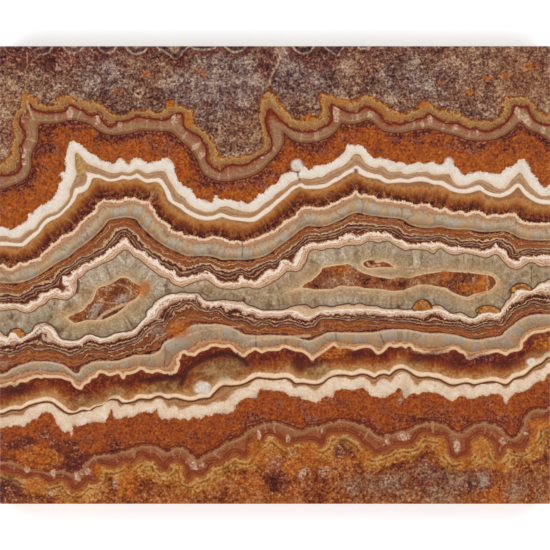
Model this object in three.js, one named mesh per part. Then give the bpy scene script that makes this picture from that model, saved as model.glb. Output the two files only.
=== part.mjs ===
// A polished slab of tiger onyx: one sawn plate of banded vein calcite, lying on its back face.
// Millimetres, +Z up. X runs along the bands, and Y runs across them towards the older top wall of the vein.
// The origin is the middle of the sawn back face that the slab rests on.
import * as THREE from 'three';

const slabLength = 305; // along X, a 12 inch cut
const faceRatio = 550 / 457; // the polished face, long side to short side
const slabWidth = slabLength / faceRatio; // along Y, close to 10 inches
const slabThickness = 20; // along Z, the usual gauge of cut onyx
const arris = 1.2; // the eased edge round both faces
const cornerCut = 1.5; // the corner rubbed off each upright edge

const polishedOnyx = new THREE.MeshStandardMaterial({ color: 0xa2663f, roughness: 0.22, metalness: 0 });

// The slab seen from above: a rectangle with its four corners rubbed off.
function slabOutline() {
  const halfLength = slabLength / 2;
  const halfWidth = slabWidth / 2;
  const outline = new THREE.Shape();
  outline.moveTo(-halfLength + cornerCut, -halfWidth);
  outline.lineTo(halfLength - cornerCut, -halfWidth);
  outline.lineTo(halfLength, -halfWidth + cornerCut);
  outline.lineTo(halfLength, halfWidth - cornerCut);
  outline.lineTo(halfLength - cornerCut, halfWidth);
  outline.lineTo(-halfLength + cornerCut, halfWidth);
  outline.lineTo(-halfLength, halfWidth - cornerCut);
  outline.lineTo(-halfLength, -halfWidth + cornerCut);
  outline.closePath();
  return outline;
}

// The plate between its two faces, with a flat arris round each.
function slab() {
  const geometry = new THREE.ExtrudeGeometry(slabOutline(), {
    depth: slabThickness - 2 * arris,
    bevelEnabled: true,
    bevelThickness: arris,
    bevelSize: arris,
    bevelOffset: -arris,
    bevelSegments: 1,
  });
  const mesh = new THREE.Mesh(geometry, polishedOnyx);
  mesh.name = 'slab';
  mesh.position.z = arris;
  return mesh;
}

const tigerOnyx = new THREE.Group();
tigerOnyx.add(slab());

export default tigerOnyx;
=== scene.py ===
import math
import bpy
import bmesh
import numpy as np
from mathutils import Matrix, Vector


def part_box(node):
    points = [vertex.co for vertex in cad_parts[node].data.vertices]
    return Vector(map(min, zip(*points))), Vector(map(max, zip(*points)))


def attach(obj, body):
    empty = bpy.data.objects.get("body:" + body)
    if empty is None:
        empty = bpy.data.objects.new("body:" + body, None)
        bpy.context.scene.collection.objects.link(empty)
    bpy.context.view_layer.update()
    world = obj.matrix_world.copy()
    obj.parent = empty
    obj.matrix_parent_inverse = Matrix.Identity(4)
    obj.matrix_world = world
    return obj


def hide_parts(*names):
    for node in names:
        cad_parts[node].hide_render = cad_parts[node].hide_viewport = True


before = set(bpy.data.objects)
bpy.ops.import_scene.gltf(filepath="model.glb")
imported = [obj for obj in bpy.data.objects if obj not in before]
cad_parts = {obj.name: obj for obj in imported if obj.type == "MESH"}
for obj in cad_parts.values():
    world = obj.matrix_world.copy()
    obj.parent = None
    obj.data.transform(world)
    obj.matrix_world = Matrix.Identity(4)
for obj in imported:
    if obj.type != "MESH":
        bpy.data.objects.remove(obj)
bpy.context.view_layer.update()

# The slab lies on its back with the polished face up. Bands are read in picture pixels: x runs right, y
# runs down,
# and pixel 275,274.5 is the middle of the face.
lowCorner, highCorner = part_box("slab")
picture = {
    "middleX": 275.0, "middleY": 274.5,
    "frameWidth": 0.3044,            # metres of slab that fill the picture's width
    "metresPerPixel": 0.3044 / 550.0,
}

slab = {
    "arris": 0.0004,         # eased edge round both faces
    "cornerCut": 0.0005,     # clipped corners, seen from above
    "faceStep": 0.0011,      # spacing of the points that carry the bands on the polished face
    "backStep": 0.0021,      # the same on the sawn back
    "sideRows": 8,           # rows of points down the sides
    "smoothUnder": 30.0,     # degrees, sharper edges than this stay crisp
}


def cutAcross(mesh, faces, axis, places):
    # each cut only has to look at what lies beyond the last one
    for place in places:
        edges = {edge for face in faces for edge in face.edges}
        verts = {vert for face in faces for vert in face.verts}
        point, normal = Vector((0, 0, 0)), Vector((0, 0, 0))
        point[axis], normal[axis] = place, 1.0
        cut = bmesh.ops.bisect_plane(mesh, geom=faces + list(edges) + list(verts), dist=1e-7,
                                     plane_co=point, plane_no=normal)
        faces = [item for item in cut["geom"] if isinstance(item, bmesh.types.BMFace)
                 and max(vert.co[axis] for vert in item.verts) > place + 1e-6]


def evenPlaces(low, high, step):
    count = max(2, round((high - low) / step))
    return [low + (high - low) * i / count for i in range(1, count)]


def makeSlab():
    low, high, cut = Vector(lowCorner), Vector(highCorner), slab["cornerCut"]
    mesh = bmesh.new()
    corners = []
    for signX, signY, flip in ((1, 1, 0), (-1, 1, 1), (-1, -1, 0), (1, -1, 1)):
        x = high.x if signX > 0 else low.x
        y = high.y if signY > 0 else low.y
        pair = [(x, y - signY * cut), (x - signX * cut, y)]
        corners += reversed(pair) if flip else pair
    bottom = mesh.faces.new([mesh.verts.new((x, y, low.z)) for x, y in corners])
    raised = bmesh.ops.extrude_face_region(mesh, geom=[bottom], use_keep_orig=True)["geom"]
    top = [item for item in raised if isinstance(item, bmesh.types.BMVert)]
    bmesh.ops.translate(mesh, verts=top, vec=(0, 0, high.z - low.z))
    rims = [edge for edge in mesh.edges if abs(edge.verts[0].co.z - edge.verts[1].co.z) < 1e-6]
    bmesh.ops.bevel(mesh, geom=rims, offset=slab["arris"], offset_type="OFFSET", affect="EDGES",
                    segments=2, profile=0.5, material=-1)
    bmesh.ops.recalc_face_normals(mesh, faces=mesh.faces)
    back = [face for face in mesh.faces if face.normal.z < -0.99]
    cutAcross(mesh, back, 0, evenPlaces(low.x, high.x, slab["backStep"]))
    back = [face for face in mesh.faces if face.normal.z < -0.99]
    cutAcross(mesh, back, 1, evenPlaces(low.y, high.y, slab["backStep"]))
    rest = [face for face in mesh.faces if face.normal.z > -0.99]
    rows = (high.z - low.z) / slab["sideRows"]
    cutAcross(mesh, rest, 2, evenPlaces(low.z + slab["arris"], high.z - slab["arris"], rows))
    for axis in (0, 1):
        rest = [face for face in mesh.faces if face.normal.z > -0.99]
        cutAcross(mesh, rest, axis, evenPlaces(low[axis], high[axis], slab["faceStep"]))
    bmesh.ops.remove_doubles(mesh, verts=mesh.verts, dist=1e-6)
    bmesh.ops.triangulate(mesh, faces=[face for face in mesh.faces if len(face.verts) > 4])
    bmesh.ops.recalc_face_normals(mesh, faces=mesh.faces)
    data = bpy.data.meshes.new("onyxSlab")
    mesh.to_mesh(data)
    mesh.free()
    data.shade_smooth()
    data.set_sharp_from_angle(angle=math.radians(slab["smoothUnder"]))
    piece = bpy.data.objects.new("onyxSlab", data)
    bpy.context.scene.collection.objects.link(piece)
    data.calc_loop_triangles()
    print("slab: %d points, %d triangles" % (len(data.vertices), len(data.loop_triangles)))
    return piece


# Band edges from top to bottom, each read left to right: x, y, x, y, ...
bands = {
    "ochreTop": [0,159, 5,158, 9,153, 10,148, 11,143, 13,136, 12,130, 11,124, 13,118, 15,112, 20,108, 20,102,
        22,96, 25,92, 30,93, 35,97, 39,101, 44,103, 49,104, 54,101, 57,96, 60,93, 66,93, 72,96, 78,99,
        84,100, 90,101, 95,100, 100,100, 103,102, 107,106, 112,109, 116,113, 120,114, 126,113, 130,110,
        135,109, 140,109, 147,109, 153,110, 158,111, 163,109, 167,104, 169,100, 173,101, 177,104, 182,105,
        188,106, 193,108, 195,113, 194,119, 196,123, 200,127, 205,130, 209,133, 211,137, 214,141, 216,145,
        218,149, 219,153, 222,155, 228,157, 235,157, 242,155, 250,153, 256,150, 260,147, 262,143, 261,138,
        262,132, 261,126, 259,120, 258,114, 258,107, 259,100, 262,95, 266,91, 268,87, 271,83, 272,86,
        274,92, 277,96, 280,100, 282,104, 286,108, 289,112, 293,116, 298,118, 302,119, 305,116, 309,113,
        313,114, 317,116, 319,113, 320,108, 319,102, 317,97, 318,92, 322,91, 327,92, 332,94, 337,97,
        342,98, 348,99, 355,97, 361,94, 366,94, 372,96, 378,98, 384,101, 389,104, 393,108, 398,110,
        404,111, 410,109, 415,107, 419,103, 424,100, 430,101, 435,105, 440,108, 446,108, 452,109, 457,111,
        462,114, 468,117, 474,118, 480,119, 487,118, 494,117, 499,114, 501,108, 501,102, 503,97, 508,95,
        514,96, 521,95, 527,96, 532,99, 535,103, 538,107,
        542,110, 547,112, 550,113],
    "redTop": [0,174, 6,174, 12,173, 17,171, 20,166, 20,160, 20,155, 21,150, 20,146, 22,141, 24,137, 24,132,
        22,128, 20,125, 18.5,121, 19,117, 22,114, 26,111, 27,107, 28,103, 31,103, 33,107, 37,109, 43,110.5,
        50,111, 57,111, 63,110.5, 66,108, 68,105, 70,104, 74,105, 77,107, 81,108, 85,110, 88,113, 92,114.5,
        96,113, 99,112, 101,115, 103,119, 106,123, 110,125.5, 114,123.5, 117,120, 121,120, 126,119.5,
        131,117.5, 137,115.5, 143,116, 150,117, 157,118, 163,118.5, 168,117, 171,114, 175,112, 180,112,
        183,114, 184,118, 184,123, 186,127, 190,130, 194,132, 198,134, 202,137, 204,141, 206,145, 208,150,
        207,157, 209,162, 213,166, 217,168, 221,170, 223,168, 226,165, 232,163.5, 240,164, 247,163,
        251,160, 256,157, 262,154, 267,151, 270,148, 271,143, 270,138, 268,133, 266,128, 265,123, 265,118,
        267,112, 270,108, 275,113, 280,118, 283,121, 287,124, 291,127, 296,129, 302,130, 308,130.5,
        314,129.5, 320,127, 325,125, 329,122, 331,118, 331,113, 330,108, 330,104, 333,103, 337,105,
        341,107, 345,109, 350,111, 356,111, 361,108, 366,106, 371,107, 376,110, 380,113, 383,117, 386,121,
        390,123, 394,121, 399,123, 404,122, 410,120, 416,118, 421,117, 425,115, 428,112.5, 431,113,
        435,116, 440,119, 445,121, 450,122, 455,122, 460,123, 464,125, 468,127, 472,127, 476,127, 480,129,
        485,130, 490,129.5, 495,127, 500,125, 504,122, 508,118, 511,113, 513,108, 513,105, 518,104.5,
        523,106, 527,105, 529,107, 530,111, 532,114, 534,118, 538,121,
        543,123, 550,123.5],
    "greyBase": [0,188, 6,187, 12,184.5, 18,182, 22,180, 26,177, 29,172, 31,166, 31,160, 31,154, 33,149,
        36,144, 38,138, 38,131, 38,126, 41,123, 44,122.5, 50,123, 57,122, 63,121, 68,119.5, 74,119,
        80,120.5, 86,121.5, 91,124, 95,127, 99,130, 103,132, 109,133.5, 116,134, 123,133.5, 130,132.5,
        136,130.5, 143,129.5, 150,130, 158,130, 166,130.5, 172,131.5, 176,135, 180,139, 184,142.5,
        188,146.5, 192,150.5, 195,155, 198,160, 200,166, 203,172, 208,176, 213,178.5, 220,180, 228,180.5,
        236,179, 244,177.5, 251,175.5, 257,172.5, 262,169, 266,165, 270,160, 276,154, 280,149, 283,144,
        284,139, 283,131, 287,134, 290,137, 295,140, 301,141.5, 308,142, 315,141, 322,139, 328,136.5,
        333,133, 337,129, 340,124, 342,122, 348,123, 355,123, 361,121, 366,119.5, 371,120, 375,123,
        379,127, 384,130, 390,131.5, 397,132, 404,131.5, 410,130, 416,129, 424,128, 430,128, 436,129,
        442,131, 448,133, 454,134, 460,136, 466,138.5, 472,139.5, 480,140, 488,139.5, 495,138.5, 500,136,
        505,134, 509,131, 513,128, 516,125, 519,122, 522,122.5, 525,126,
        528,128.5, 532,130, 537,131.5, 541,134, 545,137, 550,139],
    "whiteTop": [0,226, 4,227, 8,227.5, 11,229.5, 13,228, 16,226, 19,225, 22,222.5, 25,221, 28,218, 28,214,
        32,212, 35,209, 39,205.5, 44,203.5, 47,201.5, 49,199.5, 52,199, 54,196, 56,192, 58,187, 59,183,
        61,180.5, 63,178.5, 60,176, 58,174, 62,171, 65,171, 66,168, 65,163, 65,158, 66,153, 67,149, 68,145,
        70,141, 73,139.5, 76,141, 79,143, 82,144.5, 85,148, 89,151, 94,154, 98,156.5, 101,159.5, 105,160.5,
        110,161.5, 114,163, 117,160, 120,157, 123,158.5, 126,161.5, 129,163.5, 131,160, 134,157.5, 138,157,
        142,158, 145,160.5, 149,162.5, 152,161.5, 156,160, 161,160, 163,158, 167,157, 171,159, 173,162.5,
        175.5,166, 175,170, 176,174, 178,179, 181,182, 184,186, 188,186.5, 192,189, 194,193, 196,197,
        200,198, 205,199, 209,201, 212,201.5, 214,197, 217,195.5, 219,198, 224,199, 230,198.5, 234,200,
        238,201.5, 243,200.5, 247,203, 252,201, 255,197.5, 259,194, 264,192, 267,188, 271,185, 274,184.5,
        277,182, 279,179, 280,175, 284,173, 289,172, 294,171.5, 298,173, 301,167, 304,165.5, 307,167,
        310,169, 313,167, 316,164.5, 321,164.5, 326,163.5, 331,162, 335,159, 339,156, 343,153, 345,150,
        346,145, 348,142.5, 351,144, 355,144.5, 360,143.5, 363,146, 367,150, 370,154, 373,157.5, 378,157,
        384,157.5, 389,158.5, 392,161, 395,162, 399,161, 404,162.5, 408,164, 412,163, 416,162, 420,161,
        424,163, 429,161.5, 434,161, 437,163, 441,164, 445,162.5, 449,159, 452,160, 453,164, 456,166.5,
        459,169, 461,171, 463,174, 466,175, 469,173, 473,172, 477,170, 481,171, 485,171, 489,172,
        494,172.5, 498,174, 502,172, 505,168, 508,166, 510,167.5, 513,165, 517,162, 520,158, 524,159,
        527,161, 529,165, 530,169, 533,172.5, 536,176, 538,180,
        541,184, 544,187, 547,186, 550,184],
    "whiteBase": [0,236, 6,236, 11,238, 16,238, 20,237.5, 25,233.5, 29,230.5, 33,229.5, 36,227, 38,223,
        40,221, 43,218, 46,215.5, 50,213.5, 54,212.5, 57,211.5, 60,208, 64,204.5, 68,199.5, 70,195, 70,190,
        72,186, 74,181, 76,176, 77,172, 75.5,166, 75,160, 75,155, 76,152, 78,153, 81,156, 84,160, 87,163,
        91,165, 96,167, 101,169, 107,171.5, 113,173, 118,172.5, 122,171.5, 127,173, 132,172, 136,169.5,
        139,169.5, 143,172, 148,173, 153,172, 158,171, 164,171, 166,174, 168,178, 171,183, 174,188,
        177,192.5, 181,195.5, 185,198, 187,202, 190,205, 195,208, 200,210, 206,212, 213,211.5, 217,209.5,
        221,207, 225,206, 229,206.5, 233,208.5, 238,210, 244,211.5, 251,212, 256,210.5, 260,208, 265,203,
        270,200, 274,197, 276,194, 280,191, 284,189, 287,186, 290,183, 293,181.5, 297,179.5, 300,178,
        303,178, 308,178.5, 312,178.5, 317,177, 322,177, 326,174.5, 330,172, 335,169.5, 341,167, 346,163.5,
        350,160, 353,155.5, 356,153.5, 360,154.5, 362,158, 365,163, 370,166, 376,167.5, 381,166.5,
        385,167.5, 388,171, 394,172, 400,171.5, 404,174, 410,173.5, 416,172, 422,172, 427,171.5, 431,174,
        435,175, 440,174.5, 446,174, 450,174.5, 451,178, 454,183, 458,185, 463,186, 468,184.5, 473,182,
        478,180, 482,180, 487,182, 491,184, 495,187, 500,189, 505,188.5, 508,185, 511,181, 515,177,
        519,172.5, 522,174, 524,178, 528,184,
        532,188, 536,192, 540,195, 545,196, 550,195.5],
    "threadTop": [0,241, 6,241, 12,242, 18,242.5, 22,242, 26,238.5, 30,235, 34,232, 38,229, 40,225, 43,221.5,
        47,218, 51,216, 56,214.5, 60,212, 64,208, 68,204, 71,199, 73,194, 74,189, 76,187, 80,186, 84,184.5,
        86,181, 87,176, 86,172.5, 89,171.5, 93,173, 99,174, 104,176, 109,178, 115,178, 119,176.5,
        122,174.5, 127,175.5, 132,175, 136,173, 138,173, 142,176, 147,178.5, 152,178, 157,177, 161,178,
        164,181.5, 167,186, 170,191, 172,196, 174,200, 179,202.5, 183,204, 186,207.5, 190,210, 195,212.5,
        200,214.5, 206,215.5, 213,215, 218,213, 221,212, 225,213.5, 230,215.5, 236,216.5, 243,217, 250,217,
        255,215.5, 260,212, 265,208, 270,205, 274,201.5, 278,198, 282,195, 286,191.5, 290,188, 293,185.5,
        297,184.5, 299,183, 302,182.5, 305,184.5, 310,185, 315,184.5, 320,184, 325,183, 330,180.5,
        334,177.5, 340,175, 345,171, 350,168.5, 354,166, 357,164.5, 360,166.5, 365,170, 370,172, 376,173.5,
        381,174.5, 384,177, 389,179, 394,178.5, 400,177.5, 406,178.5, 411,178, 415,176.5, 420,176,
        426,176.5, 431,179, 437,180, 442,180, 446,182, 451,185, 456,187.5, 462,188.5, 468,188, 473,186,
        478,184.5, 482,186, 485,189, 489,191, 494,192.5, 500,193, 505,191, 510,188, 514,184.5, 518,182.5,
        522,184.5, 525,188.5, 530,193, 535,196,
        540,198.5, 545,199, 550,199],
    "threadBase": [0,245.5, 8,245.5, 18,246, 23,246, 27,243.5, 31,239.5, 35,236.5, 39,233, 42,229, 45,225,
        49,221.5, 54,219, 59,216.5, 63,213, 67,209, 71,205, 75,200, 77,195, 79,193, 82,192.5, 86,190,
        89,186.5, 91,182, 93,178, 97,177.5, 102,178.5, 106,180.5, 112,181, 118,180, 124,178.5, 130,179.5,
        136,177.5, 139,178.5, 143,181, 148,182.5, 154,181.5, 158,182, 161,185, 164,189.5, 166,195,
        168,199.5, 172,203, 177,206, 181,208.5, 185,212, 190,215, 195,217.5, 200,219, 206,220, 213,219.5,
        218,218, 222,216.5, 226,218, 232,219.5, 240,220.5, 248,221.5, 255,221, 260,218, 265,214.5, 270,211,
        275,206, 280,201.5, 285,197.5, 289,194, 292,190.5, 296,188, 300,186, 303,188, 308,188.5, 315,188.5,
        322,188, 328,186, 333,183, 339,180, 344,176.5, 350,173, 355,171.5, 357,172, 361,174.5, 367,177,
        373,178, 379,179, 383,181.5, 388,183, 394,182.5, 402,182, 408,182.5, 414,181.5, 421,181, 428,182,
        433,184, 439,184.5, 444,186.5, 450,190, 456,192, 463,193, 470,192.5, 475,191, 480,190, 484,192.5,
        489,195, 495,196.5, 501,197, 506,195.5, 511,193, 515,189.5, 518,186.5, 521,190, 524,194, 529,198,
        534,201,
        539,203, 545,204, 550,204],
    "combTop": [0,263.5, 4,263, 7,266, 10,267, 13,266.5, 16,264, 19,262, 22,262, 25,262.5, 28,260, 32,258.8,
        36,258, 39.5,257, 40,254, 42,251.5, 46,249, 50,245.5, 54,242, 58,239.5, 60,236, 64,234, 69,232.5,
        73,230, 76,226.5, 79,223, 83,219, 86,216, 89,213.5, 93,211, 95,208, 96,204, 100,201, 103,198,
        107,199.5, 111,198.5, 116,199.5, 120,199.5, 124,197.5, 128,196.5, 131,197.5, 135,196, 138,198.5,
        143,200, 148,200, 151,202, 152,206, 155,208.5, 156,211.5, 158,215, 161,218.5, 165,221, 168,222.5,
        171,225, 171,229, 174,230, 178,231.5, 182,230.5, 184,234, 188,235, 193,234.5, 198,236.5, 203,237.5,
        208,236.5, 212,235, 218,235.5, 223,237, 228,239, 232,240.5, 238,239.5, 243,241, 248,239.5, 253,238,
        258,236, 263,234, 268,231.5, 274,229.5, 278,225.5, 281,224, 284,221, 288,218.5, 292,216.5, 295,215,
        296,212, 300,208, 304,205.5, 310,205.5, 316,206.5, 320,206.5, 324,206, 328,205, 331,202, 335,201.5,
        339,199, 343,197, 348,195.5, 352,193, 355,189.5, 357,190, 360,194, 364,193.5, 369,194, 374,195,
        378,198, 382,198.5, 386,198, 391,199, 397,200, 404,200.5, 410,201.5, 414,203.5, 417,204.5,
        420,202.5, 426,203, 430,204, 432,206.5, 436,207, 440,209, 444,206.5, 447,207, 450,210.5, 455,211,
        460,210, 464,211, 467,213, 471,210.5, 475,210, 480,210.5, 484,212.5, 487,215, 491,213, 496,213,
        501,214,
        506,212.5, 511,212.5, 515,211.5, 518,214.5, 521,219, 526,221, 531,221.5, 538,222, 545,222, 550,221.5],
    "greenTop": [0,272, 8,272.5, 14,272, 20,270, 26,268, 32,266.5, 38,265, 44,261, 50,256, 57,250, 63,245.5,
        70,240, 77,235, 84,229, 90,223, 96,217, 100,212, 104,207, 110,207, 118,207, 126,205, 133,204,
        140,206, 146,208, 149,212, 152,217, 156,221.5, 161,225.5, 165,230, 168,235, 174,237, 181,239,
        188,241.5, 195,243.5, 203,244, 211,243, 219,243.5, 226,246, 233,247, 240,247, 247,246.5, 254,245,
        261,242.5, 268,240, 277,236.5, 283,232, 289,226.5, 295,222.5, 300,218.5, 304,214.5, 309,212,
        316,213, 323,213, 330,212.5, 336,211, 341,207.5, 346,204.5, 351,201, 357,199.5, 364,200, 371,201,
        376,203, 382,205, 390,206, 398,206.5, 406,208, 413,211, 420,210, 427,211.5, 434,214, 440,215,
        446,214, 451,217.5, 458,218, 465,218.5, 472,217, 478,218, 485,219.5, 493,220, 501,219.5, 508,218.5,
        514,219, 518,223,
        523,227, 530,228.5, 540,228.5, 550,228.5],
    "greenBase": [0,282.5, 9,283, 18,282.5, 25,281, 32,278.5, 40,274, 47,269.5, 55,264, 62,260, 70,255.5,
        76,250, 82,246, 88,241.5, 94,236.5, 99,231.5, 104,226, 108,220.5, 112,219, 118,218, 124,217,
        130,217.5, 136,219, 139,223, 143,228, 148,232.5, 153,237, 158,241, 164,245, 170,248.5, 177,251.5,
        184,254.5, 191,256, 200,255.5, 210,256, 217,257.5, 222,259.5, 230,259, 240,259.5, 249,259,
        258,257.5, 265,255.5, 271,252, 275,249, 280,245.5, 286,241, 292,236.5, 298,231.5, 303,228,
        308,225.5, 314,226, 321,226, 328,225, 335,222, 342,219, 348,215.5, 354,213, 360,212.5, 366,214.5,
        374,215.5, 382,216.5, 390,217.5, 398,218, 404,220, 409,223.5, 416,226, 424,227.5, 432,227.5,
        440,226.5, 447,228, 455,229, 463,229, 471,229.5, 478,231, 486,231.5, 495,231, 503,230.5, 509,232,
        515,235, 521,238, 529,239.5, 538,240,
        550,240],
    "rail": [0,297.5, 9,297, 17,298, 21,297, 25,295, 29,293, 33,291, 35,288.5, 40,287.5, 46,286, 50,284.5,
        55,281, 58,276.5, 63,272, 69,268, 75,264.5, 80,261, 82,258.5, 86,257.5, 90,257, 94,254, 98,252,
        104,249, 109,244, 112,241, 116,236, 119,232, 123,230.5, 128,231.5, 131,234, 134,238, 138,243,
        141,247, 146,249, 149.5,252.5, 153,255, 157,258.2, 161.4,261.8, 166,263.2, 170.5,266.2, 175,266.4,
        177.7,269, 179.5,271.8, 183,272.3, 186.8,271.4, 190.5,271.4, 194,269, 198.6,267.3, 204,266.4,
        208.6,266, 211.4,268.2, 215,271, 218.6,272.3, 224,273.6, 229.5,274, 234,272.3, 239.5,270.5,
        244,271.4, 248.6,273.2, 252.3,272.3, 255,269, 259.5,267.3, 264,265, 269.5,263.2, 275.5,262.7,
        279,260, 281.8,256.4, 286.4,253.6, 291,251, 294.5,247.7, 298,245.5, 302.3,241, 306,237.5, 312,236,
        320,236, 328,235, 336,233, 343,229.5, 350,227, 357,227, 363,227, 369,226, 374,227.5, 381,228,
        389,228, 395,229, 399,232, 403,236, 408,237.5, 415,237, 423,237, 430,237.5, 437,236, 444,237,
        449,240, 455,241, 460,243, 466,242.5, 471,242, 476,243, 483,244, 490,242.5, 497,240.5, 501,241,
        505,244.5, 510,246.5, 512,250, 513,253.5, 517,253.5, 521,252,
        527,250, 535,250.5, 550,251],
    "creamTop": [0,302.5, 8,302.5, 16,303, 22,304, 26,305, 28,303, 30,300.5, 33,299.5, 36,299, 38,297, 39,293,
        42,292, 47,292, 51,289.5, 56,288, 61,291, 66,291, 69,289.5, 68,287, 65,284.5, 62.5,282, 63,278,
        66,275.5, 69,275, 72,271.5, 76,269, 80,265.5, 85,262, 90,261.5, 95,258, 101,254.5, 106,252,
        110,248, 115,245.5, 119,242, 121,238, 124,235.5, 127,237, 129,240, 132,245, 136,248, 140,249,
        145,250, 148,254, 150,256, 154,258.5, 158,260, 160,262.5, 163,265, 166,268, 170,270, 174,270,
        176,272.5, 177,274.5, 180,276, 185,276.5, 189,275, 192,274, 196,275, 199,273, 203,271, 207,270.5,
        208,273, 212,273.5, 215,276, 217,279.5, 221,281, 226,281.5, 230,281, 236,281.5, 239,280.5,
        239.5,277, 240.5,275, 243,275.5, 245,278, 249,279, 252,280, 256,279.5, 260,278, 262,275, 265,274.5,
        266,271, 268,268.5, 272,269, 275,269, 278,266, 280,262.5, 283,259, 286,258, 289,260, 292,261,
        294,258.5, 296,255, 297,252, 300,249, 303,246.5, 307,244, 311,242.5, 318,241.5, 325,240.5,
        332,239.5, 340,237.5, 345,233.5, 351,231, 354,234, 357,236, 361,234, 367,232, 371,230.5, 378,232,
        385,232.5, 391,233, 395,237, 400,238.5, 405,241, 410,242, 416,243, 424,243, 433,242, 439,241.5,
        444,243.5, 449,246, 455,247, 461,245.5, 467,247, 474,248, 481,249.5, 488,249, 493,245.5, 497,243.5,
        500,246, 503,248, 505.5,250, 507,253, 509,257,
        513,259.5, 517,260, 520,258.5, 522,256, 527,255, 534,255.5, 541,255, 550,254],
    "creamBase": [0,311, 8,310, 15,309.5, 20,311.5, 25,313, 31,312.5, 36,310, 39,307, 44,305, 47,302.5,
        49,300, 54,298.5, 60,299.5, 66,300, 70,298.5, 74,295.5, 77,291.5, 78.5,286, 78,281, 78.5,278.5,
        82,277, 85,274, 88,271, 93,268.5, 98,266.5, 103,263.5, 109,261.5, 114,259, 118,255, 122,251.5,
        126,250, 130,253, 134,257, 140,260, 145,264.5, 149,268, 153,271, 157,274, 160,276.5, 165,278,
        169,279, 170,282, 173,284.5, 178,286, 182,287.5, 187,285.5, 192,283.5, 198,281.5, 204,280, 207,280,
        211,283, 215,286, 219,288, 225,289, 232,289.5, 238,289, 243,287.5, 249,287.5, 254,289, 260,288.5,
        266,286, 272,283, 277,280, 282.7,275.5, 287,271.5, 292,271.4, 296.4,271.8, 301,270, 303.6,266.4,
        306.4,262.7, 307.7,258.2, 309,253.6, 311,250.5, 315.5,249.5, 321,250.5, 324.5,250, 326.8,248.6,
        333.6,248.6, 339,248.6, 342.7,246.8, 347.3,245.5, 353.6,245.5, 361,245, 365.5,242.7, 368,241.4,
        373,241.5, 378,243, 383,242, 388,241, 391,243, 396,246, 402,249.5, 406,251, 411,249.5, 420,250,
        427,250.5, 431,253.5, 434,254, 437,251, 441,248.5, 445,251.5, 449,254, 454,255, 460,254.5, 464,253,
        469,254, 474,255, 479.5,256.5, 484,257.8, 489,257.5, 492.5,255.5, 496,254.5, 499,256.5, 502,260.5,
        505,263.5, 509,267.5, 513,269,
        518,269.5, 522.5,267.5, 526,265, 530,263, 534,263, 538,266, 543,267.3, 550,266.8],
    "seamLow": [0,330, 3,333, 6,334.5, 8.5,332.5, 9.5,329.5, 13.6,327.7, 18.2,328.6, 21.8,332.2, 27.3,332.4,
        31,330, 33.6,325.5, 38,322.3, 43.6,321.4, 49,322.3, 54.5,326.4, 58,331.8, 61.8,337.3, 67.3,338.6,
        74.5,339, 80,337.3, 84.5,334, 90,332.7, 95.5,334.5, 101.8,336, 108,335, 113.6,332.3, 119,331,
        125.5,330.5, 131,329, 134.5,327, 138.6,322.7, 142.3,319, 145.5,315.5, 145,311.8, 147.7,308.2,
        151.4,305.5, 153.2,301.8, 157.7,298.2, 162.3,295.5, 166,293.6, 171.4,292.3, 176,292.3, 180,291,
        184,291, 190,292, 197,291.5, 200.5,293, 202.3,296, 206,299, 211,299.5, 217,299, 223,298.5, 230,299,
        238,300, 243,299.5, 245,301, 247.7,303.6, 253,305, 257.7,306.8, 262.3,308.6, 268.6,309,
        275.5,308.6, 281,308.8, 286.4,307.3, 291,305.5, 296.4,304, 301,303.6, 305.5,303.2, 309,304.5,
        311.8,307, 315.5,306.4, 319,304.5, 324.5,304.5, 331.8,305.5, 339,304, 345.5,302.7, 350,302,
        351.8,304, 356.4,302.7, 361,301.8, 364.5,303.6, 370,304.5, 377.3,304.5, 381,306.4, 386.4,307.3,
        391.8,307.7, 398.2,306.8, 401,308, 410,308, 413,307, 414.5,304, 415.5,301.5, 418.6,299.5,
        424,299.5, 427.7,301, 429.5,303.6, 433,304.5, 436.8,303.6, 441.4,304.5, 445,307.3, 448.6,310,
        452.3,312.3, 456,311.8, 459.5,311, 463,311.8, 466.8,314, 470.5,316.4, 474,316.4, 476.8,314,
        477.7,310, 480.5,307.3, 485,306, 491.4,306, 496,307.3, 499.5,308.6, 502.3,305.5, 504.5,301.8,
        506,299, 508.6,297.3, 510.5,293.6, 511,289, 512.3,285.5, 516,282.7, 520.5,281.8, 526,282.7,
        529.5,285.5, 532.3,287.8, 535,286, 536.8,283.2, 541.4,281, 545,280.5, 550,278],
    "creamTopLow": [0,336, 4,338, 7,337.5, 9,335, 10.5,332.5, 13,331.8, 16,333, 17.5,336, 20,338, 24,336.5,
        28,334.5, 32,332, 35,329, 38,326.5, 42,325, 46,325, 50,327, 54,330, 56,333.5, 58,337, 62,339.5,
        68,340.8, 75,341, 80,340, 84,336.5, 88,334.7, 92,334.7, 96,336.5, 102,337.7, 109,337, 114,334,
        120,332.8, 126,332, 131,331, 135,329, 138,325.5, 141,321.5, 144,318.5, 147,315, 147,311.5,
        149,309.5, 153,307, 155,303.5, 159,300, 163,297.5, 167,295.5, 172,294, 177,294, 183,295, 190,294.5,
        196,294.5, 199,296, 202,299, 206,301.5, 212,301.5, 218,301.5, 224,302, 230,302.5, 237,304, 243,305,
        246,307, 250,307.5, 255,308, 260,310, 265,311, 270,310.5, 276,310.5, 282,310.5, 288,310, 294,310,
        298,311, 301,313, 304,315.5, 309,316, 313,315, 317,312.5, 320,310.5, 325,309.5, 335,309, 345,308,
        355,308, 365,308.5, 375,308.5, 380,309, 385,309.5, 392,310, 400,310.3, 408,310.5, 413,310.5,
        418,310.5, 424,310.5, 430,309, 436,308, 441,309, 446,311, 451,313.5, 456,315, 462,315.5, 467,317,
        471,318, 475,318, 478,316, 481,313.5, 485,312.5, 489,312, 494,312.5, 499,312.5, 502,310, 505,306.5,
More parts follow.
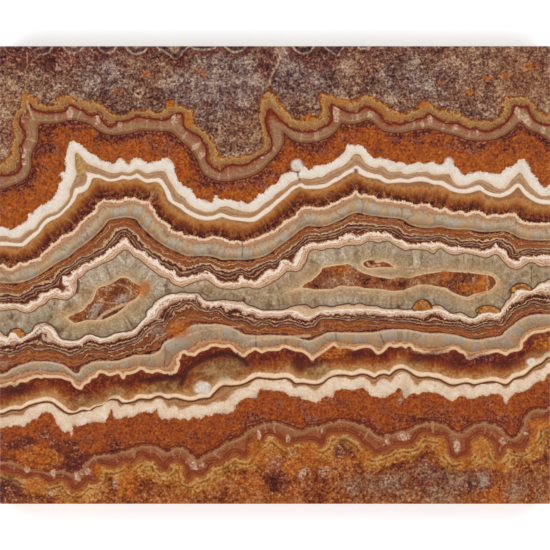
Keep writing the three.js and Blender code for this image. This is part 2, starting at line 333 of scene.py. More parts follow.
        508,303.5, 511,300.5, 513,298.5, 515,295, 515,291.5, 517,289.5, 521,288.8, 525,289.3, 529,290.5,
        533,289.5,
        537,286.5, 541,284, 546,283, 550,281.5],
    "creamBaseLow": [0,347.3, 5,345.5, 9,344.8, 10.5,347, 15,347, 16,343.6, 20,343.2, 23.6,342.3, 27,341,
        31,338.6, 34.5,336.8, 38,335.5, 40,333.6, 44.5,333.6, 46,337.3, 46,340, 49,342.7, 53.6,343.2,
        57.3,345, 63.6,346, 69,347.3, 75.5,346.8, 80,346.4, 83.6,345, 83.8,342.7, 87.3,341.4, 90,340.5,
        93.6,341.8, 97.3,343.2, 100,344.5, 103.6,343.2, 109,343.2, 113.6,341.8, 117.3,340, 122.7,338.6,
        128.2,338.2, 133.6,336.4, 137.3,334.5, 140.5,331, 143.2,328.2, 145,326.4, 147.7,324.5, 152.3,321.8,
        156.8,320, 160.5,318.2, 161.4,314.5, 163.2,311.8, 166,309, 168.6,306.4, 170.5,303.6, 174,302.7,
        180.5,301, 183.2,300, 187.7,299.5, 193.2,300, 196.8,301, 199.5,303.6, 202.3,306.4, 206.8,307.7,
        212.3,307.3, 217.7,306, 221.4,307.3, 224,311, 226.8,312.7, 230.5,310, 235,309.5, 240.5,311,
        244,313.6, 248.6,314.5, 253.2,315.5, 255,318.2, 258.6,319, 262.3,318.2, 267.7,317.3, 273,318,
        279,320, 281.8,318.2, 286.4,316, 290,315.5, 291.8,317.3, 294.5,317.3, 297.3,319, 301,320,
        304.5,321, 310,320.5, 313.6,318.6, 316.4,318.2, 319,315.5, 321.8,314, 326.4,315.5, 331.8,315,
        337.3,314, 341,315.5, 345.5,314, 350,315, 351.8,316.4, 355.5,314.5, 361,315, 365.5,314, 370,314.5,
        377.3,315.5, 383.6,316.8, 390,316.8, 397.3,316.4, 404,316.4, 410.5,316.4, 416,317.3, 423.2,318.6,
        427.7,317.3, 430.5,315, 436,313.6, 439.5,315.5, 443.2,318.2, 448.6,320, 456,320, 461.4,321,
        466.8,323.2, 470.5,324.5, 475,323.6, 480.5,321, 485,320, 491.4,320.5, 496,320.5, 499.5,320,
        502.3,317.3, 505,314.5, 506,311.8, 509.5,308.2, 513.2,303.6,
        518.6,301.8, 524,301, 526.8,297.3, 530.5,295.5, 536.8,294.5, 541.4,295.5, 550,295.5],
    "railLow": [0,351.8, 5,352.5, 10,352.8, 14,351.5, 18,350, 22,348.6, 25,346.4, 28,345.5, 32,346, 34,348,
        37,348.8, 41,349, 45.5,348.2, 51,348.2, 56,349.5, 62,351.4, 67,354, 71,355, 75.5,352.3, 80,350.5,
        83.6,347.7, 87,346.4, 92,346.4, 96,347.7, 99,348.2, 103,346.8, 106,346.4, 109,348.6, 114,348.6,
        118,346.8, 123,345, 127,344, 132,342.3, 136,340.5, 138.6,338.2, 142.3,335.5, 145,331.8, 148.6,329,
        152.3,327.3, 155,325, 160.5,323.6, 164,323.2, 166,321, 166.8,318.2, 169.5,314.5, 171.4,311,
        174,308.2, 177.7,307.7, 180.5,305.5, 183.2,303.2, 187.7,301.8, 192.3,302.7, 195,304.5, 198.6,308.2,
        202.3,310, 207.7,311, 212.3,310.5, 216.8,309.5, 220.5,311.4, 223.2,314, 226.8,316.4, 231.4,318.6,
        236,319, 241.4,319, 246.8,320.5, 250.5,322.3, 253.2,324.5, 256.8,323.6, 259.5,321.4, 264,321,
        268.6,321.8, 272.5,325, 275.5,326, 279,323.6, 283.6,322.3, 290,322.3, 294.5,323.2, 299,324.5,
        302.7,326, 306.4,327.3, 310,326, 314.5,325.5, 317.3,322.3, 319,319, 321.8,317.7, 331.8,317.7,
        337.3,318.2, 342.7,319, 348.2,319.5, 353.6,319, 358.2,317.3, 364.5,316.8, 370,318.2, 376.4,319,
        382.7,318.6, 388.2,319, 394.5,319.5, 401,320.5, 409.5,320.5, 414,321.8, 423.2,323.6, 432.3,323.6,
        441.4,324, 450.5,324.5, 459.5,325, 465,326.8, 468.6,328.6, 473.2,328.6, 477.7,327.3, 482.3,325.5,
        486.8,324.5, 491.4,324.3, 496,323.2, 499.5,324.5, 503.2,323.6, 506,320, 509.5,315.5, 512.3,311.8,
        516,309, 521.4,306.8,
        526.8,305.5, 529.5,302.7, 534,301.8, 538.6,302.7, 544,304, 550,303.6],
    "greenTopLow": [0,373.5, 5,373, 9,370.5, 12,368, 17,366, 22,364, 27,362.5, 32,361, 40,360.8, 50,361,
        57,362.5, 63,364, 67,366.5, 71,370, 74,372, 77,373, 79,372, 80,369.5, 82,367, 85,365, 90,362.5,
        95,361, 100,360.5, 110,360.5, 118,360, 124,358, 130,356, 135,354.5, 141,354.2, 148,354,
        153.2,353.2, 158.6,350.5, 161,347.3, 163,343.6, 166.8,340, 173,337.3, 178.6,334, 183.2,331.4,
        187,327.5, 191.4,325, 198.6,323.5, 207.7,323.5, 216.8,323.5, 224,324.5, 231.4,327, 237.7,330,
        244,333.5, 250,334.5, 258,334.8, 266,334.5, 275,334.5, 282,335, 290,335.5, 298,337, 304,339,
        309,340, 313,339, 318,336.5, 323,334, 328,332, 334,331.5, 342,331.8, 350,332, 358,332, 366,332,
        374,331.5, 380,330.5, 386,329.3, 392,328.8, 400,328.5, 408,329, 414,330, 423,331.8, 432.3,332.7,
        441.4,332.7, 450.5,333.6, 459.5,335.5, 466.8,337.7, 474,339, 480.5,339, 486.8,337.7, 496,336.4,
        501.4,335, 505,331, 509.5,327.3, 514,323.6,
        518.6,320, 523.2,317.3, 527.7,315.5, 534,314, 541.4,313.6, 550,313.6],
    "greenBaseLow": [0,378.5, 6,378, 11,376, 15,374.5, 19,373, 23,371, 28,369.5, 34,369, 42,369, 50,370.5,
        58,371, 65,372, 70,374.5, 74,377.5, 79,380.5, 83,379.5, 86,376, 89,373, 94,370.5, 100,369,
        108,368.5, 116,368.5, 124,367.5, 130,366, 135,365, 142,364.7, 148,365.5, 155,366, 162,366, 167,365,
        170,361, 173,355.5, 178,351.8, 184,349.5, 190,347.5, 196,342.7, 201.4,339, 209.5,338.3,
        216.8,337.7, 224,338.8, 231.4,340.5, 237.7,342.7, 241.4,346.4, 246.8,347, 251.4,346, 257.7,346,
        266.8,346, 275,344.5, 280,343, 285,343, 290,344, 297,345.5, 303.6,347, 307.3,350, 311,352.7,
        314.5,352.3, 319,348.6, 323.6,343.6, 329,341, 334.5,340, 339,341.4, 345,342.7, 352,342.7,
        361,342.3, 368,342.5, 372.7,344.5, 377.3,346.4, 381,346, 384.5,342.7, 388.2,340.5, 397.3,340.3,
        406,340.3, 410,341, 415,343.6, 423.2,346.4, 432.3,346.8, 441.4,346.4, 446,344.5, 452.3,343.2,
        457.7,344.5, 463.2,347.7, 470.5,350.5, 477.7,350.5, 486.8,348.2, 496,346.8, 503.2,347.7,
        509.5,347.7, 514,346.4, 517.7,343.6, 518.6,339, 521,336, 525,331.5, 530,328.5,
        536,326.3, 543,325.3, 550,324.3],
    "combBaseLow": [0,387, 5,387, 8,385, 11,384, 14,386, 17,385.5, 19,383, 21,381.5, 25,382, 28,381, 30,379.5,
        34,378, 38,377, 41,378.5, 44,377, 48,377.5, 52,377.5, 58,377.5, 63,378.5, 67,380, 71,381, 72,384,
        75,387, 79,389, 82,389, 84,385, 87,383, 90,382, 91,379, 94,377.5, 97,377, 99,373, 101,372.5,
        105,373.5, 108,375.5, 113,375, 117,373.5, 119,373, 121,377, 123,379, 125,378, 126,374.5, 130,374,
        134,373, 136,372, 138,371, 141,369, 144,370, 146,372.5, 149,372, 152,373.5, 156,371.5, 160,372,
        164,373.5, 168,374, 171,375, 174,373.5, 177,372, 178,369, 180,365, 180,362, 178.5,360, 181,358,
        182,354, 184,352.5, 187,355, 191,355, 195,356, 198,353, 201,351, 205,350, 209,348.5, 211,346.5,
        216,346, 220,347, 225,347.5, 229,346.5, 231,348, 233,350, 235,352, 238,354, 241,356.5, 245,356.5,
        248,353.5, 252,351.5, 255,349.5, 258,351, 262,353, 266,351, 270,350.5, 275,350.5, 280,350,
        283,347.5, 287,348, 291,349.5, 296,351, 301,351.5, 304,353, 307,355, 309,357, 311,359.5, 313,361,
        315,358, 319,355.5, 323,353, 327,350, 331,347, 334,345, 336,347, 339,349, 344,348, 350,348.5,
        354,350, 358,349, 363,347.5, 369,347.5, 372,349, 374,351, 377,354, 380,353.5, 383,352, 385,350,
        387,348, 390,345.5, 393,347, 397,347, 401,345.5, 404,347, 406,348.5, 408,346, 411,346.5, 413,350,
        417,350.5, 421,352, 424,354, 428,353, 432,354, 438,354, 443,352.5, 448,352, 450,350, 454,349,
        457,350, 459,352.5, 463,353, 465,356, 467,359.5, 471,359, 476,357, 482,355.5, 488,354, 493,352.5,
        498,352, 503,354, 507,355.5, 509,353, 513,351.5, 517,351, 521,349.5, 523,347, 523,344, 523,342,
        526,340, 528,337, 531,335,
        535,333, 541,332.5, 546,331.5, 550,330.5],
    "threadTopLow": [0,409, 6,407.5, 11,405.5, 16,404.5, 21,405, 24.5,402.5, 29,400, 34.5,398.5, 40,397,
        45.5,396, 51,396.5, 54.5,397.8, 58,400.5, 62,403.2, 65.5,406, 69,409, 73,410.5, 77,410, 79,407.5,
        83.5,406, 89,407.3, 92,405.5, 95.5,404, 100,403.5, 104,402, 108,399, 111,395.5, 114.5,394,
        119,394.5, 122,397.3, 125.5,399.3, 130,399.5, 134,397, 136,394.5, 140.5,393.2, 146,393.6,
        150.5,393.6, 155,391.8, 160.5,391.8, 165,393.2, 168.6,393.6, 174,392.7, 179.5,393.2, 184,394.5,
        189.5,396, 195,395, 198,393.5, 204,392.7, 209.5,391.5, 213,386.4, 217,381.8, 219.5,376.5,
        224,374.5, 229.5,376.4, 233,379.5, 239.5,380, 244,379, 247.7,376.4, 252,373, 257.7,371.4,
        263,371.8, 269.5,372.3, 275.5,373.3, 280,372.3, 285.5,371.8, 290,372.3, 292.7,373.6, 295.5,376.4,
        299,378.2, 304.5,377.8, 310,379, 315.5,379.5, 320,378.2, 323.6,374.5, 327,371.8, 332,369.5,
        338,369, 345.5,369.5, 351,371, 356.4,369, 361,367.7, 366.4,369, 371,371, 374.5,372.7, 379,370,
        385.5,369, 389,371, 392.7,366.4, 397.3,364, 403.6,363.6, 410,367, 416,370, 421.4,371.4,
        427.7,371.4, 434,372.3, 439.5,373, 445,375.5, 450.5,377.3, 456.8,378.2, 463.2,377.3, 468.6,377.3,
        474,379, 480.5,378, 486.8,376.8, 494,376, 499.5,377.3, 505,379, 508.6,376.4,
        513,372.7, 518.6,371, 524,369, 527.7,366, 532.3,360.5, 536.8,358, 541.4,356.4, 545,352.7, 550,351],
    "threadBaseLow": [0,412.7, 6,411, 11,409, 16,409, 21,408.6, 24.5,406.8, 29,404.5, 34.5,402.7, 40,401.4,
        45.5,400.5, 51,401, 54.5,402.7, 58,405.5, 62,408.2, 65.5,411, 69,412.3, 73,412.3, 77,411.4, 80,410,
        84,409, 89,410, 92,408, 95.5,406, 100,405, 104,403.5, 107,400.5, 111,398.2, 115,398.2, 119,398.8,
        121.5,401.8, 125.5,402, 130,401.3, 135,400, 137.5,398.5, 141,397.8, 146,398.2, 150.5,398.2,
        155,396, 160.5,395, 165,397.3, 168.6,398.2, 174,396.8, 179.5,397.7, 184,399, 189.5,400, 195,399.5,
        199,398, 204,397.3, 209.5,396.8, 213,393, 217,389, 220,386.2, 224,384.5, 229.5,384.8, 233,384.8,
        239.5,384, 244,382.7, 247.7,381, 252,378.6, 257.7,376.4, 263,377, 269.5,377.5, 275.5,378,
        280,377.5, 285.5,377, 290,378, 292.7,380, 295.5,382.5, 299,382.2, 304.5,382.3, 310,383.2,
        315.5,383.6, 320,382.7, 323.6,381, 327,378, 332,375.5, 338,374, 345.5,374, 351,375, 356.4,374.3,
        361,373, 366.4,373.4, 371,375.5, 374.5,377, 379,374, 385.5,373, 389,374.5, 392.7,371.4,
        397.3,368.6, 403.6,368, 410,371, 416,375, 421.4,376.4, 427.7,375.8, 434,377, 439.5,378.2, 445,381,
        450.5,383.6, 456.8,383.6, 463.2,382, 468.6,381.8, 474,383.6, 480.5,382.3, 486.8,381, 494,380.5,
        499.5,382, 505,383.6, 508.6,382.3, 513,378.2, 518.6,376, 524,374.5, 527.7,371.4, 532.3,367.3,
        536.8,364.5, 541.4,362.3, 545,359,
        550,356.4],
    "whiteTopLow": [0,417.3, 6,416.5, 11,415, 16,415, 22,415, 24.5,412.7, 27,409.5, 31,407.3, 34.5,406.4,
        38,404, 42,403.2, 47,402.7, 52,403.5, 55.5,406.4, 59,410, 63.5,412.7, 68,415, 73,414.5, 78,413.2,
        82,411.4, 87,411, 92,410, 96,407.3, 101,406, 104,403.6, 107,401.4, 111,400, 115.5,400.5, 118,402.7,
        120,407, 122,405.5, 125.5,404, 131,404.5, 133.5,406.4, 136,403.6, 138.5,401.8, 142.5,401.4,
        147,402.3, 151.5,401.8, 154,400, 158.6,398.6, 162.3,399.5, 165,402.7, 166.8,406.8, 169.5,407.7,
        172.3,405.5, 175,404.5, 177,407.3, 179.5,409.5, 184,408.2, 188.6,406.4, 193,404.5, 198.6,404.5,
        204,405, 208.6,404.5, 213,401.8, 218.6,401, 224,401, 226.8,399, 230.5,395.5, 234,391, 238.6,388.2,
        244,387.3, 249.5,385, 252.3,381.8, 256,379.5, 260.5,378.6, 265,379.5, 270.5,380, 275,380,
        281,379.5, 285.5,379, 289,381, 292,384.5, 293.6,387.3, 296.4,386.8, 300,385.5, 304.5,385.5,
        309,386.8, 312.7,389, 314.5,391, 317.3,389, 320,386.4, 323.6,383.6, 326.4,381, 330,378.2,
        334.5,376.4, 340,377.3, 345.5,377.3, 350,379, 353.6,379, 357.3,377.3, 361.8,376.4, 366.4,378.2,
        370,381.8, 372.7,384.5, 374.5,386.4, 376.4,383.6, 379,380, 383.6,378.6, 387.3,379, 390,381.8,
        392.7,379, 396.4,374.5, 401,371.8, 405,372, 408.6,374.5, 412.3,379, 415,383.6, 417.7,385.3,
        420.5,381.8, 424,380, 430.5,380, 436,381, 440,382, 443,383.6, 447,385.5, 452.3,387.3, 456.8,386.4,
        461.4,384.5, 467,384, 470.5,385.5, 473,387.7, 476.8,385.5, 482.3,383.6, 488.6,384, 495,382.7,
        499.5,383.6, 503,386.4, 505,388.2, 508.6,386.4, 512.3,381.5,
        516.8,379, 522.3,379, 525,378, 529.5,374.5, 534,371, 540.5,369, 545,366.4, 550,361.8],
    "whiteBaseLow": [0,428, 4,427.3, 8,426, 10.5,426.5, 13,425, 17,424, 20,426, 24,426.5, 26,425, 28,422.7,
        31,421, 33.5,418.6, 36,419, 39,417, 41.5,413.6, 45,411.8, 48.5,412, 51.5,414, 54,417.3, 55.5,421,
        56.5,424.5, 59.5,425.5, 61,428.2, 63,431, 66,431.8, 68.5,430.5, 70,433, 70.5,436.5, 72,436,
        73.3,431, 73.3,427, 72,425.5, 74.5,424.5, 77.5,426, 80,425.5, 83,424.5, 86,422.7, 90.5,422.7,
        95,421.8, 100,422.3, 104.5,422.3, 106.5,419, 109,415, 110,411.5, 111.3,408, 112.7,413.6,
        114.5,418.6, 119,419, 122.5,417.7, 126,416, 131,417.3, 135,415.5, 138.5,412.7, 142.5,412.3,
        146,411, 149.5,412.3, 152.5,412.7, 155,410.5, 156.8,408.2, 157,412.7, 159.5,417.3, 162.3,419,
        166,418.2, 169.5,419, 174,417.3, 177.7,419, 180.5,420, 184,417.7, 187.7,420, 190.5,419.5,
        193,416.8, 197.7,418.2, 202.3,417.3, 206,414.5, 209.5,416, 213,414.5, 216,411.8, 217.7,413.6,
        221.5,412.3, 226,414, 229.5,412.7, 234,411, 235,407.3, 236,403.6, 239.5,401.8, 242.3,399.5,
        246.8,397.7, 252.3,397.7, 256.8,397.3, 257.7,393.6, 259.5,390.5, 261,388.2, 264,389.5, 269.5,390,
        275,390.5, 280,391, 284.5,391.4, 286.4,393.6, 290,396, 294.5,396.4, 298,395.5, 301,395.5,
        301.5,399, 305.5,400, 309,400, 312,401.4, 316.4,401.8, 320,400.5, 322.7,397.3, 326.4,396,
        331,397.7, 333.6,395.5, 335,391.8, 337.3,390, 341,389, 342.7,387.7, 345.5,389, 350,390,
        355.5,389.5, 361,387.7, 364.5,389, 368.2,391.8, 370,395.5, 374.5,396.4, 380,397.3, 385.5,397.3,
        389,395, 393.6,392.7, 397.3,388.6, 400,388, 402,391, 403,395, 405,397, 408,396, 410.5,394,
        414,392.7, 417,394.5, 419.5,394, 423,391.8, 428.6,391.4, 432.3,392.7, 436.8,392.7, 440.5,394.5,
        444,396.4, 446.8,399, 450.5,400.5, 454,400.5, 456.8,398.2, 460.5,396, 464,396, 466.8,398.2,
        470.5,399, 475,398.2, 478.6,396.4, 482.3,395, 486.8,396, 490.5,394, 496,393.6, 500.5,394.5,
        502.7,397.3, 503.6,401, 505,403.6, 507.5,404, 508.2,400, 510.5,397.3, 513,393.6, 517.7,391.8,
        522.3,391.8, 525,390.5, 529.5,388.2, 532.3,385.5, 536,382.7, 539.5,380.5, 542.3,381,
        545,380, 546.8,376.4, 550,372.7],
    "greyTopLow": [0,459.5, 6,459, 12,459.5, 18,461, 22.7,463.6, 27.3,465.5, 32,467.3, 38,468.2, 43.6,469,
        48,470.5, 54.5,468.6, 60,467.7, 65.5,468.6, 71.8,470.5, 76.4,469, 80,467.7, 81.8,465.5, 83.6,462.7,
        86.4,460, 90,456.4, 93.6,454.5, 98.2,453.2, 104.5,452.3, 110,452.3, 114.5,451, 119,449.5,
        125.5,448.4, 131.8,447, 135,444.8, 140.5,443.2, 146.8,443.6, 153.2,443.6, 158.6,445.5, 162.3,448.2,
        166,449.5, 170.5,448.2, 173.2,446.4, 177,445.2, 182.3,446, 187.7,448.2, 191.4,451.8, 195,456.4,
        198.6,457.3, 202.3,454.5, 206,451.8, 211.4,449.5, 216.8,446.4, 221.4,443.2, 226.8,440, 232.3,438.6,
        237.7,436.4, 242.3,433.6, 245,430, 247.7,426.8, 253.2,425.5, 258.6,423.6, 264,421.8, 269.5,420.6,
        275.5,420.4, 281,421.4, 286.4,424, 291.8,425.5, 297.3,427.7, 301,429, 304.5,427.3, 308.2,425,
        313.6,424.5, 317.3,424, 321.8,423.2, 325.5,421.8, 330,420.5, 335.5,419, 340,418.2, 345.5,418.6,
        350,419, 354.5,420, 360,422.3, 365.5,424.5, 370,427.3, 373.6,430, 377.3,433.6, 381.8,434.5,
        386.4,433.2, 392.7,431.4, 399,430, 404.5,428.6, 409.5,427.3, 415,424.5, 421.4,421.8, 427.7,420.5,
        434,420.5, 441.4,421.4, 446,422.7, 449.5,425, 453.2,428.2, 456.8,431, 460.5,431, 464,429,
        467.7,426.4, 472.3,423.6, 476.8,421.4, 482.3,420.5, 488.6,421, 494,422.3, 498.6,424.5, 502.3,427.3,
        506,431, 508.6,434.5, 512.3,436.4, 516.8,433.6, 519.5,429, 521.4,424.5, 522.3,420, 524,415.5,
        527.7,410,
        533.2,407.3, 539.5,406.8, 545,408.2, 550,405.5],
    "redLow": [0,467.7, 5.5,468.6, 11,471, 16.4,471, 21,471.8, 24.5,474.5, 29,474.5, 34.5,472.5, 39,472,
        43.6,475.5, 48.2,479.5, 52.7,479, 56.4,476.8, 61.8,476.4, 66.4,477.7, 70,481, 71.8,484.5,
        74.5,487.3, 78.2,486, 81.8,482.7, 85.5,479, 90,477.3, 93.6,480, 95.5,478.2, 95.5,472.7, 95.5,468.2,
        96.4,464, 100,461.8, 105.5,462.3, 111,463.6, 115.5,463.6, 119,461, 122.7,459, 127.3,460, 130,461.8,
        133.6,459, 136,456, 138.6,453.6, 144,453.6, 146.8,455.5, 149.5,456.8, 154,455.5, 156.8,458.2,
        159.5,461.8, 162.3,466.4, 166,467.3, 166.8,462.7, 169.5,460, 174,457.7, 178.6,457.7, 181.4,461,
        185,461.8, 186.8,465.5, 187.7,471, 188.6,477.3, 191.4,472.7, 195,471.8, 200.5,472.7, 204,471,
        206.8,467.3, 207.7,463.6, 211.4,461.8, 216.8,461, 221.4,458.2, 226,456.4, 228.6,453.2, 232.3,450.5,
        236.8,450.5, 240.5,451.8, 243.2,454.5, 246,453.6, 247.7,449, 248.2,443.6, 249.5,440, 253.2,438.6,
        257.7,440, 261.4,439, 263.2,434.5, 265,432.3, 269.5,431.5, 274.5,432.3, 278,434.5, 281,437.3,
        283.6,440, 287.3,442.7, 291,441, 295.5,439, 301,439, 306.4,438.2, 311,438.2, 315.5,438.6, 319,441,
        321.8,442.7, 323.6,438.2, 324.5,433.6, 327.3,431, 331.8,430, 337.3,430, 342.7,429.5, 347.3,430,
        351.8,431.4, 356.4,433.6, 361,437.3, 363.6,441, 367.3,444.5, 371,447.3, 373.6,451, 378.2,451,
        382.7,449, 387.3,447.3, 390,444.5, 394.5,442.7, 399,443.6, 404.5,442.7, 409.5,441.8, 412.3,440,
        415,436.4, 416.8,432.7, 421.4,430.5, 426.8,430, 431.4,431.8, 436,433.2, 440.5,433.2, 445,434.5,
        448.6,438.2, 450.5,442.7, 451.4,449, 452.3,453.6, 456.8,455.5, 461.4,453.6, 466.8,452.7, 468.6,450,
        467.7,444.5, 468.6,440, 472.3,437.3, 476,434, 479.5,432.3, 483.2,432.7, 486.8,434.5, 490.5,437.3,
        494,440, 496.8,444.5, 498.6,450, 499.5,454.5, 501,451, 502.3,446.4, 506,443.6, 510.5,443.6,
        515,445.5, 519.5,446.4, 524,444.5, 526,440, 528.6,436.4, 531.4,432.7, 531.4,427.3, 530.5,423.6,
        533.2,420, 537.7,419,
        543.2,418.6, 546.8,415.5, 550,412.7],
}


# Closed outlines of single features, read in picture pixels.
outlines = {
    "vug": [
        [66,316, 75,312, 83,308, 87,303, 91,300, 94,293, 96,288, 101,285, 108,283, 114,280, 120,276, 127,276,
         132,279, 138,283, 141,284.5, 143.5,288, 141,294, 137,299, 130,303, 125,308, 119,313, 112,317,
         104,320,
         96,321, 88,321, 80,323, 74,324, 68,320],
        [288.5,290, 293,288, 299,287, 303,283, 307,280.5, 311,279, 314,276, 317,273.5, 320,270, 321,267,
        325,265.5,
         330,264.5, 336,263.5, 342,263, 348,262, 353,264, 357,267, 361,270, 366,272, 372,273.5, 378,275,
         385,276, 392,277, 398,275, 405,276, 410,276, 417,274, 425,272, 433,271, 440,270, 447,269.5,
         455,270, 462,270.5, 470,271, 478,272, 486,273, 492,274, 496,278, 498,282, 496,286, 492,290,
         486,292, 478,294, 472,296, 468,298, 462,297, 456,295, 450,292, 446,289, 440,288, 433,286.5,
         425,285.5, 417,286, 413,288, 409,289, 405,290.5, 400,291.5, 394,292, 388,291.5, 384,290.5,
         378,290, 370,289.5, 363,289, 358,287.5, 348,287.5,
         342,286.5, 337,288, 333,290, 327,290, 315,290.5, 309,289.5, 303,289, 297,290.5, 289,291],
        [361,263, 364,260, 368,258.5, 373,259, 377,261, 382,259.5, 388,261, 393,264, 397,267, 392,268.5,
        384,268,
         376,268.5, 369,269, 364,267],
    ],
    "dome": [
        [413,309, 415,304, 418,301, 423,299.5, 428,301, 431,305, 431,309, 424,310.5],
        [476,311, 479,307.5, 485,305.5, 492,306, 498,308.5, 501,312, 494,313, 484,313],
        [8,336, 11,331, 15,328.5, 20,329, 24,333, 25,337, 17,338.5],
        [510,291, 513,287, 518,284, 524,283.5, 529,286, 532,290, 527,291.5, 518,292],
    ],
    "scallop": [
        [158,40, 158,47, 165,51, 170,55, 175,58.5, 180,56, 184,50, 187,47, 187,40],
        [325,40, 325,46, 330,50, 334,52, 337,55, 339,52, 343,47, 343,40],
        [193,40, 193,47, 205,49, 214,47, 214,40],
        [359,40, 359,47, 365,48, 370,47, 370,40],
    ],
}
# Round scallops at the top edge: centre x, centre y, radius.
scallopRounds = [(14, 45, 9), (41, 43, 11), (73, 40, 12), (107, 43, 9), (137, 41, 12), (236, 38, 13), (303,
    42, 11)]

